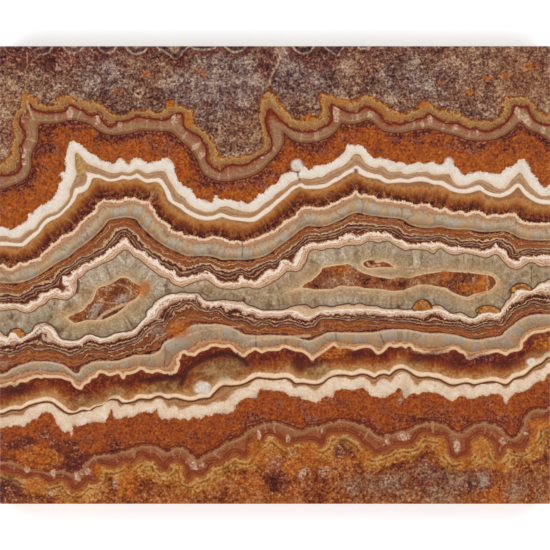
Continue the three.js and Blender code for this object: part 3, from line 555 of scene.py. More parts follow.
# Soft patches over the bands, six numbers each: centre x, y, half width, half height, degrees turned,
# strength.
patches = {
    # pale crystal tips, lightened further with painted glints where they catch the light
    "glow": [
        70,113,3,6,0,.9, 98,117,2.5,6,10,.9, 120,124,2,5,0,.9, 177,119,5,9,0,1, 196,146,4,3,-30,.8,
        202,155,4,3,-30,.8, 263,155,4,3,30,.9, 24,158,3,8,0,.7, 336,113,3,8,0,.9, 370,114,4,3,0,.8,
        430,119,2.5,5,0,.8, 420,124,4,3,0,.7, 456,128,3,4,0,.8, 477,131,2,4,0,.7, 518,113,3,7,-20,.9,
        526,119,3,6,-35,.9, 543,130,2,4,0,.8, 324,274,4,2,20,.8, 332,278,4,2,30,.8, 344,279,7,3,-50,.7,
        357,283,4,2,-30,.7, 493,278,2,3,0,.6, 27,468,3,4,0,.9, 53,471,3,4,0,.9, 78,476,5,4,0,.9,
        88,471,3,3,0,.8, 163,457,3,3,0,.8, 197,465,6,4,0,.9, 214,455,2,2,0,.8, 259,434,2,5,0,.9,
        287,438,3,4,0,.8, 320,430,3,3,0,.8,
        382,443,5,5,0,.9, 404,436,6,4,0,.9, 457,446,3,7,0,.9, 502,440,3,3,0,.8, 526,432,3,3,0,.8],
    "chalk": [297,165,5,5,0,1, 449,164,4,6,0,1, 203,387.5,7,5.5,0,1, 531,361,4,2.5,-20,1, 381,387,4,3,0,.5],
    "cream": [
        115,483,3,5,0,.45, 292,453,2.5,2.5,0,.6, 302,473,3,6,30,.8, 306,470,4,2,-30,.7, 324,471,5,5,0,.55,
        367,250,2,8,-30,.5,
        386,478,5,4,0,.4, 350,488,6,4,0,.4, 52,492,4,5,0,.4],
    "maroon": [
        27,441,9,5,0,.7, 12,445,9,4,0,.6, 45,434,6,5,0,.6, 71,443,8,4,0,.6, 56,447,7,9,0,.6,
        72,459,11,10,0,.7, 115,448,6,5,0,.6, 10,490,11,11,0,.6, 278,475,10,16,0,.5, 422,460,9,6,0,.3,
        340,450,6,8,0,.6, 468,485,4,6,0,.6, 18,57,24,12,0,.6, 62,63,20,12,0,.6, 96,56,14,7,0,.4,
        180,62,12,8,0,.4, 268,66,10,16,20,.4, 318,62,20,9,0,.4, 206,104,10,6,0,.3, 368,66,16,8,-20,.4,
        545,343,12,9,0,.4, 482,358,14,5,0,.4,
        118,284,15,4,-12,.2, 113,292,9,3,0,.3, 402,284,5,5,0,.6, 359,278,4,2,0,.7, 366,283,3,2,0,.6],
    "grey": [
        64,248,3,4,0,.7, 35,266,4,3,0,.7, 25,272,6,3,0,.7, 18,371,5,3,0,.7, 46,366,16,4,-10,.5,
        89,368,7,4,0,.7, 108,365,5,3,0,.6, 122,365,3,2,0,.6, 215,335,21,5,-8,.4, 245,342,6,4,0,.5,
        483,480,6,8,0,.7, 95,310,10,4.5,-50,.8, 122,298,8,4,-20,.9, 356,265,5,3,0,.7, 332,283,13,6,0,.35,
        347,279,3,3,0,.6, 473,280,2,5,25,.7,
        5,363,4,3,0,.6, 158,332,8,8,-40,.4, 406,390,5,5,0,.6, 400,400,3,4,0,.6, 222,411,8,3,0,.4,
        255,397,3,2,0,.5],
    "orange": [
        36,485,10,6,0,.8, 38,458,20,10,0,.7, 97,470,4,6,0,.7, 128,482,9,18,0,.6, 256,450,7,11,0,.7,
        309,450,10,6,0,.7, 292,467,9,6,0,.7, 365,454,6,7,0,.7, 442,446,4,10,0,.7, 481,447,9,9,0,.6,
        467,463,6,6,0,.6, 500,466,6,4,0,.6, 492,495,9,7,0,.6, 540,424,11,5,0,.8, 533,440,3,14,0,.7,
        170,103,4,4,0,.7, 308,117,6,4,0,.7, 424,104,5,4,0,.7, 189,120,4,6,0,.7, 342,269,9,4,0,.4,
        505,75,5,3,0,.5, 470,92,5,3,0,.5, 488,78,4,3,0,.4, 531,66,8,4,-20,.5, 146,73,5,2.5,0,.5,
        118,91,7,2,0,.4, 440,82,4,3,0,.4, 200,72,8,3,20,.35, 445,274,4,4,0,.8, 463,287,6,4,0,.6,
        480,284,9,8,0,.9, 144,288,7,8,0,.5,
        545,343,11,8,0,.5, 179,330,12,8,-10,.6, 335,352,16,5,-15,.5],
    "olive": [
        220,370,26,10,-8,.9, 166,386,20,6,-8,.8, 84,401,17,6,-10,.7, 115,392,16,5,-10,.6,
        318,370,13,8,-10,.8,
        418,364,12,5,-15,.5, 538,355,13,5,-10,.5, 428,281,12,4,0,.5, 404,277,14,3,0,.5, 206,289,7,5,0,.7],
    "dark": [
        17,389,18,6,-5,.6, 163,378,23,3,-8,.7, 298,363,7,9,-20,.7, 314,364,8,3,0,.5, 361,354,11,4,-10,.6,
        425,356,21,4,-15,.6, 457,361,13,7,-10,.5, 521,354,3,3,0,.8, 505,363,15,5,-10,.6, 356,170,2,2,0,.8,
        398,306,2,2,0,.8, 244,299,2,2,0,.8, 196.5,297,2,2,0,.8, 77,314,3,2,0,.7, 372,261,3,1.5,0,.8,
        166,314,4,6,-20,.6,
        231,315,3,3,0,.8, 332,192,3,2,0,.6, 417,199,4,4,0,.5, 523,213,5,5,0,.4],
    "honey": [
        82,163,8,13,20,.9, 172,48,5,3,0,.6, 40,206,26,4,-25,.6, 104,198,8,5,0,.6, 354,112,10,6,0,.5,
        268,118,4,8,10,.5, 440,289,10,3,0,.5, 318,372,12,6,-10,.7, 310,252,10,4,-20,.5, 150,280,5,4,0,.4,
        500,282,4,8,0,.6, 60,312,6,5,0,.6, 268,268,20,5,-10,.4, 40,478,18,5,0,.6, 150,461,8,3,-20,.6,
        232,446,8,5,-20,.6,
        350,436,10,4,0,.6, 482,444,8,6,0,.7, 420,350,14,3,0,.4],
    "pale": [
        100,270,30,11,-15,.8, 156,277,14,13,-30,1, 330,255,20,8,-15,.8, 60,302,22,7,-20,.4,
        205,283,18,6,10,.4,
        110,258,16,8,-30,.5, 340,300,24,4,0,.4, 420,262,26,4,0,.3, 180,272,14,5,10,.6],
    "warm": [
        525,78,34,34,0,.9, 448,62,24,12,0,.6, 470,88,22,16,0,.6, 248,112,26,22,0,.7, 205,72,22,10,0,.5,
        150,72,24,14,0,.5,
        8,125,12,30,0,.6, 200,88,14,10,0,.6, 350,66,14,10,0,.4, 300,100,12,8,0,.5],
    "lilac": [
        95,70,40,22,0,.3, 220,85,50,30,0,.45, 300,75,45,25,0,.35, 420,80,40,22,0,.3, 445,480,50,18,0,.45,
        380,486,40,14,0,.35, 520,485,30,14,0,.3, 158,332,8,12,-40,.3],
}

# Single lines over the bands: width in pixels, then the points along the line.
strokes = {
    "paleLine": [
        (1.2, [26,46, 27,60, 26,75, 26,92]), (1.6, [27,100, 30,110, 34,120]), (1.5, [28,104, 25,112, 22,118]),
        (1.8, [277,48, 280,56, 278,64, 274,70, 271,76, 270,84]),
        (3.2, [98,319, 104,313.5, 111,309.5, 118,306.5, 126,303]), (1.3, [86,318, 92,308, 98,300, 106,296]),
        (1.3, [98,300, 110,302, 118,303]), (1.2, [98,290, 108,286, 118,283, 128,287, 132,294]),
        (1.6, [440,289, 450,291, 456,295, 462,298, 470,299, 476,297, 484,294, 492,292, 497,288, 500,284,
        499,279,
               496,275, 491,272, 483,271]),
        (1.5, [337,293, 345,291, 355,291.5, 362,292.5, 375,293.5, 390,294.5, 402,293]),
        (1.3, [405,267, 420,266, 440,265]), (1.3, [405,271, 422,269.5, 440,267]),
        (1.8, [367,262, 370,266, 380,264.5]), (1.3, [232,291, 250,296, 275,293]), (1.3, [365,257, 368,250,
        370,244]),
        (1.6, [64,316, 70,320, 74,324]), (1.5, [187,335, 200,331, 215,328, 245,325]), (2.6, [250,340,
        280,337, 310,335]),
        (1.5, [134,95, 137,90, 141,90, 143.5,93, 140,96, 135,95]),
        (3.0, [48,331, 52,335, 50,340, 44,339, 43,335]), (1.6, [487,275, 488,284, 486,291]),
    ],
    "smear": [
        (5.0, [182,383, 184,376, 187,369, 194,364, 203,359, 212,355, 222,352.5, 232,353, 238,356, 244,360,
        247,364]),
        (2.5, [140,380, 155,377, 170,375.5, 186,375]),
    ],
    "darkLine": [
        (1.6, [242,240, 243,248, 242,256]), (1.5, [362,198, 363,205, 362,212]), (1.8, [297,170, 298,175,
        300,180]),
        (2.6, [103,318, 109,314, 117,310.5]), (1.4, [101,288, 112,285, 121,281, 129,284]), (2.2, [462,272,
        465,276, 463,280]), (2.2, [468,272, 470,276, 472,283]),
        (2.2, [452,280, 455,276, 458,272]), (2.0, [516,288.5, 520,286.5, 524,286.5, 527,289]),
        (2.4, [427,300, 430,303, 431,307]), (1.6, [165,345, 166,355, 164,365]), (1.6, [255.5,336, 256,346]),
        (1.5, [285,336, 285.5,343]), (1.5, [336,333, 336.5,341]), (1.5, [380,333, 384,343]),
        (1.8, [34,334, 40,327, 48,323.5, 56,327, 60,333]),
        (1.5, [26,458, 33,454, 42,453, 50,456, 53,461, 46,464, 36,463, 28,461, 26,458]),
        (3.0, [78,280, 78.5,286, 77,292]),
        (1.6, [490,276, 491,283, 489,290]), (1.6, [201,291, 205,294, 210,296]), (1.5, [137,92, 141,92.5]),
        (2.0, [38,334, 41,339, 45,345]),
    ],
}


reading = {
    "spacing": 1.5,      # pixels between the points of a smoothed band edge
    "reach": 40.0,       # distances are only kept this far from an edge
    "columns": 8,        # width of the strips that are worked on together
    "overrun": 60.0,     # how far a band edge runs on past the slab
    "leanX": 0.12, "leanY": -0.22,     # how the bands slope as they pass down through the slab
    "waveX": 0.10, "waveY": 0.16,      # and how much they waver on the way
}


def smoothLine(flat, closed=False):
    # a Catmull-Rom curve through the read points, then points along it at an even spacing
    points = np.array(flat, float).reshape(-1, 2)
    if closed:
        points = np.vstack([points[-1:], points, points[:2]])
    else:
        over = reading["overrun"]
        first, last = points[0], points[-1]
        points = np.vstack([[first[0] - over, first[1]], [first[0] - over / 2, first[1]], points,
                            [last[0] + over / 2, last[1]], [last[0] + over, last[1]]])
    before, start, end, after = points[:-3], points[1:-2], points[2:-1], points[3:]
    run = []
    for t in np.arange(0, 1, 0.1):
        run.append(0.5 * (2 * start + (end - before) * t + (2 * before - 5 * start + 4 * end - after) * t ** 2
                          + (3 * start - before - 3 * end + after) * t ** 3))
    run = np.stack(run, 1).reshape(-1, 2)
    run = np.vstack([run, end[-1:]])
    along = np.concatenate([[0], np.cumsum(np.hypot(*np.diff(run, axis=0).T))])
    even = np.linspace(0, along[-1], int(along[-1] / reading["spacing"]) + 1)
    return np.stack([np.interp(even, along, run[:, 0]), np.interp(even, along, run[:, 1])],
        1).astype(np.float32)


def measureFrom(line, x, y):
    # distance in pixels from every point to the line, above it negative, and the place along it
    reach, width = reading["reach"], reading["columns"]
    x0, y0 = line[:-1].T
    dx, dy = (line[1:] - line[:-1]).T
    length = np.maximum(np.hypot(dx, dy), 1e-6)
    start = np.concatenate([[0], np.cumsum(length)[:-1]])
    distance = np.full(len(x), -reach, np.float32)
    along = np.zeros(len(x), np.float32)
    order = np.argsort(x)
    sortedX = x[order]
    for column in np.arange(math.floor(sortedX[0]), sortedX[-1] + 1, width):
        low, high = np.searchsorted(sortedX, [column, column + width])
        near = (x0 > column - reach) & (x0 < column + width + reach)
        if low == high or not near.any():
            continue
        here = order[low:high]
        inStrip = (x0 > column - 3) & (x0 < column + width + 3)
        if inStrip.any():
            floor = y0[inStrip].max()
            distance[here] = np.where(y[here] > floor, reach, -reach)
        here = here[(y[here] > y0[near].min() - reach) & (y[here] < y0[near].max() + reach)]
        if not len(here):
            continue
        px, py = x[here][:, None], y[here][:, None]
        ax, ay, bx, by, size = x0[near], y0[near], dx[near], dy[near], length[near]
        share = np.clip(((px - ax) * bx + (py - ay) * by) / size ** 2, 0, 1)
        gap = np.hypot(px - ax - share * bx, py - ay - share * by)
        nearest = gap.argmin(1)
        rows = np.arange(len(here))
        crosses = (ax <= px) != (ax + bx <= px)
        level = ay + by * (px - ax) / np.where(np.abs(bx) < 1e-9, 1e-9, bx)
        below = (crosses & (level < py)).sum(1) % 2 == 1
        distance[here] = np.where(below, 1, -1) * np.minimum(gap[rows, nearest], reach)
        along[here] = start[near][nearest] + share[rows, nearest] * size[nearest]
    return distance, along


def keep(piece, name, values):
    layer = piece.data.attributes.get(name) or piece.data.attributes.new(name, "FLOAT", "POINT")
    layer.data.foreach_set("value", values.astype(np.float32))


def pixelPlaces(piece):
    flat = np.empty(len(piece.data.vertices) * 3, np.float32)
    piece.data.vertices.foreach_get("co", flat)
    place = flat.reshape(-1, 3)
    size = picture["metresPerPixel"]
    x = place[:, 0] / size + picture["middleX"]
    y = picture["middleY"] - place[:, 1] / size
    depth = (highCorner[2] - place[:, 2]) / size
    wave = np.sin(x * 0.043 + y * 0.017) + 0.6 * np.sin(y * 0.061 - x * 0.023 + 1.3)
    keep(piece, "depth", depth)
    wave2 = np.sin(x * 0.031 - y * 0.05 + 2.1) + 0.6 * np.sin(x * 0.083 + 0.4)
    return (x + depth * (reading["leanX"] + reading["waveX"] * wave),
            y + depth * (reading["leanY"] + reading["waveY"] * wave2))


def insideDistance(outline, x, y, reach):
    # pixels inside a closed outline, negative outside it
    line = smoothLine(outline, closed=True)
    values = np.full(len(x), -reach, np.float32)
    near = np.where((x > line[:, 0].min() - reach) & (x < line[:, 0].max() + reach)
                    & (y > line[:, 1].min() - reach) & (y < line[:, 1].max() + reach))[0]
    x0, y0 = line[:-1].T
    dx, dy = (line[1:] - line[:-1]).T
    for part in np.array_split(near, max(1, len(near) // 4000)):
        px, py = x[part][:, None], y[part][:, None]
        share = np.clip(((px - x0) * dx + (py - y0) * dy) / np.maximum(dx * dx + dy * dy, 1e-9), 0, 1)
        gap = np.hypot(px - x0 - share * dx, py - y0 - share * dy).min(1)
        crosses = (y0 <= py) != (y0 + dy <= py)
        level = x0 + dx * (py - y0) / np.where(np.abs(dy) < 1e-9, 1e-9, dy)
        inside = (crosses & (level < px)).sum(1) % 2 == 1
        values[part] = np.where(inside, 1, -1) * np.minimum(gap, reach)
    return values


def strokeDistance(width, points, x, y, reach):
    # pixels inside a drawn line of that width, negative outside it
    line = np.array(points, float).reshape(-1, 2)
    values = np.full(len(x), -reach, np.float32)
    near = np.where((x > line[:, 0].min() - reach) & (x < line[:, 0].max() + reach)
                    & (y > line[:, 1].min() - reach) & (y < line[:, 1].max() + reach))[0]
    px, py = x[near], y[near]
    gap = np.full(len(near), reach, np.float32)
    for (ax, ay), (bx, by) in zip(line[:-1], line[1:]):
        size = (bx - ax) ** 2 + (by - ay) ** 2
        share = np.clip(((px - ax) * (bx - ax) + (py - ay) * (by - ay)) / size, 0, 1)
        gap = np.minimum(gap, np.hypot(px - ax - share * (bx - ax), py - ay - share * (by - ay)))
    values[near] = width / 2 - gap
    return values


def readBands(piece):
    x, y = pixelPlaces(piece)
    for name, flat in bands.items():
        distance, along = measureFrom(smoothLine(flat), x, y)
        keep(piece, name, distance)
        if name in ("greyBase", "combTop", "creamBase", "seamLow", "combBaseLow", "greyTopLow"):
            keep(piece, name + "Along", along)
    print("bands: %d edges measured" % len(bands))
    reach = 20.0
    for name, group in outlines.items():
        values = np.max([insideDistance(outline, x, y, reach) for outline in group], 0)
        if name == "scallop":
            for centreX, centreY, radius in scallopRounds:
                values = np.maximum(values, radius - np.hypot(x - centreX, y - centreY))
            values = np.maximum(values, -reach)
        keep(piece, name, values)
    for name, flat in patches.items():
        values = np.zeros(len(x))
        for centreX, centreY, halfX, halfY, turn, strength in np.array(flat, float).reshape(-1, 6):
            turn = math.radians(turn)
            dx, dy = x - centreX, y - centreY
            u = (dx * math.cos(turn) + dy * math.sin(turn)) / halfX
            v = (dy * math.cos(turn) - dx * math.sin(turn)) / halfY
            values = np.maximum(values, strength * np.clip(1.5 - np.hypot(u, v), 0, 1))
        keep(piece, name, values)
    for name, group in strokes.items():
        keep(piece, name, np.max([strokeDistance(width, points, x, y, 8.0) for width, points in group], 0))
    print("marks: outlines, patches and lines measured")


light = {
    "gain": 1.09,            # how bright a white face comes out; colours are divided by it
    "world": 0.35,
    "haze": 0.0125,          # light that the polish adds over the colour
}


def linear(colour):
    # an ordinary screen colour, 0 to 255, as the light that the face has to send back
    channels = []
    for value in colour:
        value = value / 255.0
        value = value / 12.92 if value <= 0.04045 else ((value + 0.055) / 1.055) ** 2.4
        channels.append(max(0.0015, (value - light["haze"]) / light["gain"]))
    return (*channels, 1.0)


class Wire:
    # one value in a material, so that node maths can be written as sums
    def __init__(self, graph, socket):
        self.graph, self.socket = graph, socket

    def math(self, operation, *others):
        return self.graph.node("ShaderNodeMath", {"operation": operation}, dict(enumerate((self,) + others)))

    def __add__(self, other):
        return self.math("ADD", other)

    __radd__ = __add__

    def __sub__(self, other):
        return self.math("SUBTRACT", other)

    def __rsub__(self, other):
        return self.graph.node("ShaderNodeMath", {"operation": "SUBTRACT"}, {0: other, 1: self})

    def __mul__(self, other):
        return self.math("MULTIPLY", other)

    __rmul__ = __mul__

    def __truediv__(self, other):
        return self.math("DIVIDE", other)

    def __abs__(self):
        return self.math("ABSOLUTE")

    def step(self, soft=1.0):
        # 0 above an edge and 1 below it, over a few pixels. The node's own clamp stays off, because the
        # renderer
        # puts such clamps last and runs out of room on a material as long as this one.
        return self.graph.node("ShaderNodeMapRange", {"interpolation_type": "SMOOTHSTEP", "clamp": False},
                               {"Value": self, "From Min": -0.6 * soft, "From Max": 0.6 * soft})

    def line(self, middle, width, soft=0.8):
        # 1 on a line that keeps its distance from an edge
        return (width / 2 - abs(self - middle)).step(soft)


class Graph:
    def __init__(self, name):
        self.material = bpy.data.materials.new(name)
        self.material.use_nodes = True
        self.tree = self.material.node_tree
        self.shader = self.tree.nodes["Principled BSDF"]

    def node(self, kind, settings=None, sockets=None, out=0):
        made = self.tree.nodes.new(kind)
        for key, value in (settings or {}).items():
            if key == "stops":
                ramp = made.color_ramp.elements
                while len(ramp) < len(value):
                    ramp.new(1.0)
                for stop, (place, colour) in zip(ramp, value):
                    stop.position, stop.color = place, linear(colour)
            else:
                setattr(made, key, value)
        for key, value in (sockets or {}).items():
            if isinstance(value, Wire):
                self.tree.links.new(value.socket, made.inputs[key])
            else:
                made.inputs[key].default_value = value
        return Wire(self, made.outputs[out])

    def read(self, name):
        return self.node("ShaderNodeAttribute", {"attribute_name": name}, out="Fac")

    def noise(self, place, scale, detail=2.0, rough=0.6, twist=0.0):
        return self.node("ShaderNodeTexNoise", None, {"Vector": place, "Scale": scale, "Detail": detail,
                                                      "Roughness": rough, "Distortion": twist}, out=0)

    def ramp(self, value, *stops):
        return self.node("ShaderNodeValToRGB", {"stops": stops}, {0: value})

    def mix(self, mask, first, second, blend="MIX"):
        # where the mask is 1 the second colour shows
        first, second = [c if isinstance(c, Wire) else linear(c) for c in (first, second)]
        return self.node("ShaderNodeMix", {"data_type": "RGBA", "blend_type": blend, "clamp_factor": True},
                         {0: mask, 6: first, 7: second}, out=2)

    def tint(self, mask, first, amounts):
        # where the mask is 1 the colour is multiplied by these amounts
        return self.node("ShaderNodeMix", {"data_type": "RGBA", "blend_type": "MULTIPLY",
            "clamp_factor": True}, {0: mask, 6: first, 7: (*amounts, 1.0)}, out=2)

    def feed(self, key, value):
        if isinstance(value, Wire):
            self.tree.links.new(value.socket, self.shader.inputs[key])
        else:
            self.shader.inputs[key].default_value = value


def share(top, bottom):
    # 0 at the upper edge of a band and 1 at its lower edge
    return top / (top - bottom)


onyx = {
    "edgeShake": 1.5,        # how far the fine grain shakes a band's edge, in pixels
    "crinkle": 0.34,         # how much the thin lines inside a band ripple, in shares of its width
    "polish": 0.24, "sawn": 0.62,
    "sawMarks": (14.0, 520.0, 900.0),     # how close the marks of the saw lie, per metre along x, y and z
    "sawDepth": 0.0003, "sawStrength": 0.5,
    "bandSoft": 0.9,         # how softly one band passes into the next, in pixels
    "grainOver": 0.38,       # how strongly the last grain lies over every band
    "specular": 0.4,
}


def makeOnyx():
    g = Graph("onyxBands")
    size = 1.0 / picture["metresPerPixel"]
    raw = g.node("ShaderNodeTexCoord", out="Object")
    at = g.node("ShaderNodeMapping", None, {"Vector": raw, "Scale": (size, size, size)})

    # the grains: numbers are cycles per pixel
    fine = g.noise(at, 0.42, 2.0, 0.65) - 0.5
    grain = g.noise(at, 0.19, 3.0, 0.72) - 0.5
    ripple = g.noise(at, 0.12, 1.0, 0.5, 0.4) - 0.5
    worm = g.noise(at, 0.17, 1.0, 0.5, 1.2) - 0.5
    bumps = abs(worm)
    patch = g.noise(at, 0.06, 3.0, 0.6) - 0.5
    broad = g.noise(at, 0.02, 3.0, 0.55, 0.6) - 0.5
    cells = g.node("ShaderNodeTexVoronoi", {"feature": "F1"}, {"Vector": at, "Scale": 0.34}, out="Color")
    cell = g.node("ShaderNodeSeparateColor", None, {0: cells}, out=0) - 0.5
    shake = fine * onyx["edgeShake"]
    softness = onyx["bandSoft"]
    crinkle = ripple * onyx["crinkle"]

    def streaks(name, along=0.3):
        # fibres that stand across a band
        place = g.read(name + "Along") * along + ripple * 0.9
        return g.node("ShaderNodeTexNoise", {"noise_dimensions": "1D"},
                      {"W": place, "Scale": 1.0, "Detail": 2.0, "Roughness": 0.6}) - 0.5

    loose = grain * 1.3 + fine * 0.9
    honey = (g.read("honey") * (1.0 + loose) - 0.36).step(0.6) * 0.85
    honeyTone = g.ramp(0.5 + grain * 1.4 + fine, (0.15, (156, 108, 60)), (0.85, (204, 164, 108)))
    # pale crystal tips with painted glints on them, and the lighter colour painted there
    glow = g.read("glow")
    paintedGlintTone = g.ramp(0.5 + fine * 2.0, (0.2, (176, 132, 104)), (0.8, (214, 184, 156)))

    # 0 the matrix over the bands
    scallop = g.read("scallop") + shake * 0.6 + ripple * 3.0
    speckle = 0.5 + fine * 1.35 + grain * 0.65 + cell * 0.3 + patch * 0.95 + broad * 0.6
    colour = g.ramp(speckle, (0.1, (50, 24, 24)), (0.32, (84, 46, 40)), (0.5, (120, 80, 66)),
                    (0.66, (148, 112, 90)), (0.9, (194, 162, 130)))
    warm = g.ramp(speckle, (0.08, (84, 40, 32)), (0.3, (126, 76, 54)), (0.48, (150, 102, 74)),
                  (0.68, (174, 132, 100)), (0.9, (206, 174, 140)))
    colour = g.mix((g.read("warm") * (1.0 + patch * 2.0) - 0.3 + broad * 1.6).step(0.8), colour, warm)
    lilac = g.ramp(speckle, (0.1, (54, 32, 40)), (0.38, (104, 80, 80)), (0.58, (142, 120, 112)),
                   (0.9, (192, 172, 156)))
    colour = g.mix((g.read("lilac") * (1.0 + patch * 4.0) - 0.22).step(0.5) * 0.85, colour, lilac)
    colour = g.mix((abs(bumps - 0.11) * -1.0 + 0.018 + patch * 0.05).step(0.035) * 0.55, colour, (70, 34, 32))
    colour = g.mix((0.012 - bumps + patch * 0.06).step(0.035) * 0.55, colour, (186, 152, 118))
    colour = g.mix((0.01 - abs(patch + grain * 0.1) + broad * 0.06).step(0.03) * 0.7, colour, (66, 30, 30))
    colour = g.mix((scallop + 6.0 + patch * 8.0).step(4.0) * 0.75, colour,
                   g.ramp(speckle, (0.2, (66, 28, 28)), (0.8, (122, 62, 50))))
    colour = g.mix((scallop + 1.2).step(1.0) * (0.8 + patch * 1.6), colour,
                   g.ramp(0.5 + fine * 2.0, (0.2, (128, 100, 86)), (0.8, (206, 186, 160))))
    colour = g.mix((scallop - 0.7).step(1.0), colour, g.ramp(speckle, (0.2, (50, 28, 32)), (0.8, (112, 76,
        72))))
    colour = g.mix((scallop - 5.0).step(1.6) * 0.8, colour,
                   g.ramp(speckle, (0.2, (110, 80, 60)), (0.8, (190, 156, 116))))

    # 1 ochre
    top, low = g.read("ochreTop") + shake * 2.0 + ripple * 2.6, g.read("redTop") + shake * 0.5
    t = share(top, low)
    ochre = g.ramp(t + fine * 0.7 + grain * 0.5 + crinkle * 1.2 + worm * 0.5, (0.0, (110, 58, 34)), (0.1,
        (140, 80, 42)), (0.2, (162, 94, 40)), (0.3, (178, 130, 78)), (0.38, (200, 162, 110)), (0.46, (136,
        86, 46)), (0.56, (182, 138, 88)), (0.66, (128, 78, 44)), (0.78, (176, 128, 78)), (0.88, (140, 84,
        48)), (0.98, (116, 56, 36)))
    ochre = g.mix((patch * 6.0 + broad * 3.0 + grain * 3.0 - 1.0).step(0.9) * 0.6, ochre, (180, 104, 36))
    ochre = g.mix((patch * -5.0 + grain * 3.0 + fine * 2.0 - 0.6).step(0.9) * 0.5, ochre, (126, 88, 54))
    colour = g.mix(top.step(1.6), colour, ochre)

    # 2 grey-brown band with a red upper edge and upright crystals
    top, low = low, g.read("greyBase") + shake * 0.4
    t = share(top, low)
    fibre = streaks("greyBase", 0.16)
    inward = t * 0.4 + top * 0.036
    band = g.ramp(inward + fibre * 0.3 + fine * 0.35 + patch * 0.3, (0.0, (118, 48, 30)), (0.1, (136, 64,
        42)), (0.2, (150, 96, 66)), (0.36, (160, 122, 90)), (0.5, (148, 106, 74)), (0.62, (162, 126, 90)),
        (0.74, (146, 102, 70)), (0.86, (156, 108, 70)), (0.96, (140, 78, 46)))
    band = g.mix((broad * 7.0 + patch * 3.0 + fibre * 1.5 - 0.3).step(1.0) * 0.7, band,
        g.ramp(inward + fine * 0.4, (0.1, (138, 60, 40)), (0.4, (150, 80, 56)), (0.6, (158, 114, 86)), (0.9,
        (148, 94, 60))))
    band = g.mix((fibre * 4.0 + patch * 2.0 + fine * 1.5 - 0.7).step(0.7) * 0.6, band, (192, 160, 132))
    # painted glints: pale crystal tips lightened as if catching the light
    band = g.mix((glow * (0.85 + fibre * 5.0 + fine) - 0.34).step(0.4) * 0.8, band, paintedGlintTone)
    band = g.mix((top - 1.0 - fibre * 3.0).line(0.0, 1.8, 1.0), band, (108, 40, 26))
    band = g.mix((low + 1.2).line(0.0, 1.8) * 0.45, band, (112, 50, 32))
    colour = g.mix(top.step(1.0), colour, band)

    # 3 rust
    top, low = low, g.read("whiteTop") + shake * 1.3 + bumps * 6.0 - 0.6
    rustMix = 0.5 + fine * 1.0 + grain * 1.0 + cell * 0.14 + patch * 0.3
    rust = g.ramp(rustMix, (0.08, (102, 42, 22)), (0.32, (140, 64, 28)), (0.52, (164, 84, 34)),
                  (0.72, (178, 100, 44)), (0.95, (194, 124, 66)))
    specks = g.ramp(speckle + fine * 0.5, (0.2, (46, 16, 20)), (0.38, (78, 30, 28)), (0.52, (112, 50, 36)),
                    (0.66, (140, 74, 52)), (0.92, (172, 120, 92)))
    rust = g.mix((0.5 - top * 0.05 + grain * 2.4 + patch * 5.0).step(0.7) * 0.95, rust, specks)
    rust = g.mix((fine * 3.0 + patch * 4.0 + cell - 0.75).step(0.5) * 0.7, rust, (96, 36, 24))
    rust = g.mix((fine * -3.0 + grain * 2.0 - 0.85).step(0.5) * 0.5, rust, (192, 118, 64))
    rust = g.mix((top + ripple * 4.0).line(4.0, 1.3) * (0.45 + patch * 4.0), rust, (78, 28, 20))
    rust = g.mix(top.line(0.4, 1.5), rust, (92, 42, 28))
    colour = g.mix(top.step(1.0), colour, rust)

    # 4 thick white
    top, low = low, g.read("whiteBase") + shake * 0.4
    t = share(top, low)
    whiteMix = t + fine * 0.24 + grain * 0.28 + crinkle * 0.6
    white = g.ramp(whiteMix, (0.0, (188, 156, 130)), (0.06, (222, 206, 190)), (0.3, (236, 224, 212)),
                   (0.7, (232, 216, 200)), (0.9, (226, 204, 180)), (1.0, (192, 152, 118)))
    white = g.mix((patch * 5.0 + grain * 3.0 + fine * 2.0 - 0.8).step(1.2) * 0.45, white, (200, 176, 154))
    white = g.mix((0.02 - bumps + patch * 0.1).step(0.04) * 0.4, white, (204, 180, 158))
    colour = g.mix(top.step(softness), colour, white)

    # 5 brown gap under it, 6 the thin white thread
    top, low = low, g.read("threadTop") + shake * 0.4
    t = share(top, low)
    gap = g.ramp(t + fine * 0.4 + grain * 0.4 + crinkle, (0.0, (148, 106, 78)), (0.14, (194, 156, 122)),
        (0.36, (182, 142, 108)), (0.6, (162, 118, 84)), (0.82, (190, 150, 116)), (1.0, (138, 88, 60)))
    gap = g.mix((patch * 5.0 + broad * 3.0 + fine * 2.0 - 0.2).step(1.0) * 0.6, gap, (168, 120, 78))
    gap = g.mix(honey, gap, honeyTone)
    colour = g.mix(top.step(softness), colour, gap)
    top, low = low, g.read("threadBase") + shake * 0.4
    thread = g.ramp(share(top, low) + fine * 0.2, (0.0, (216, 188, 162)), (0.25, (236, 220, 204)),
                    (0.75, (236, 218, 200)), (1.0, (208, 174, 142)))
    colour = g.mix(top.step(softness), colour, thread)

    # 7 golden brown into maroon, standing fibres
    top, low = low, g.read("combTop") + shake * 1.1 + bumps * 7.0 - 0.8
    t = share(top, low)
    fibre = streaks("combTop", 0.34)
    gold = g.ramp(t + fibre * 0.5 + grain * 0.5 + fine * 0.3 + broad * 0.8 + patch * 0.4, (0.0, (156, 106,
        66)), (0.14, (184, 132, 80)), (0.3, (166, 104, 52)), (0.48, (134, 70, 32)), (0.66, (96, 44, 24)),
        (0.84, (72, 28, 18)), (0.95, (84, 36, 22)), (1.0, (124, 72, 46)))
    gold = g.mix((fine * 3.0 + cell * 1.6 - 0.8 + t * 0.6).step(0.6) * 0.55, gold, (170, 100, 60))
    gold = g.mix((fibre * 4.0 - 0.9 + patch * 2.0).step(0.9) * 0.5, gold, (204, 156, 104))
    colour = g.mix(top.step(softness), colour, gold)

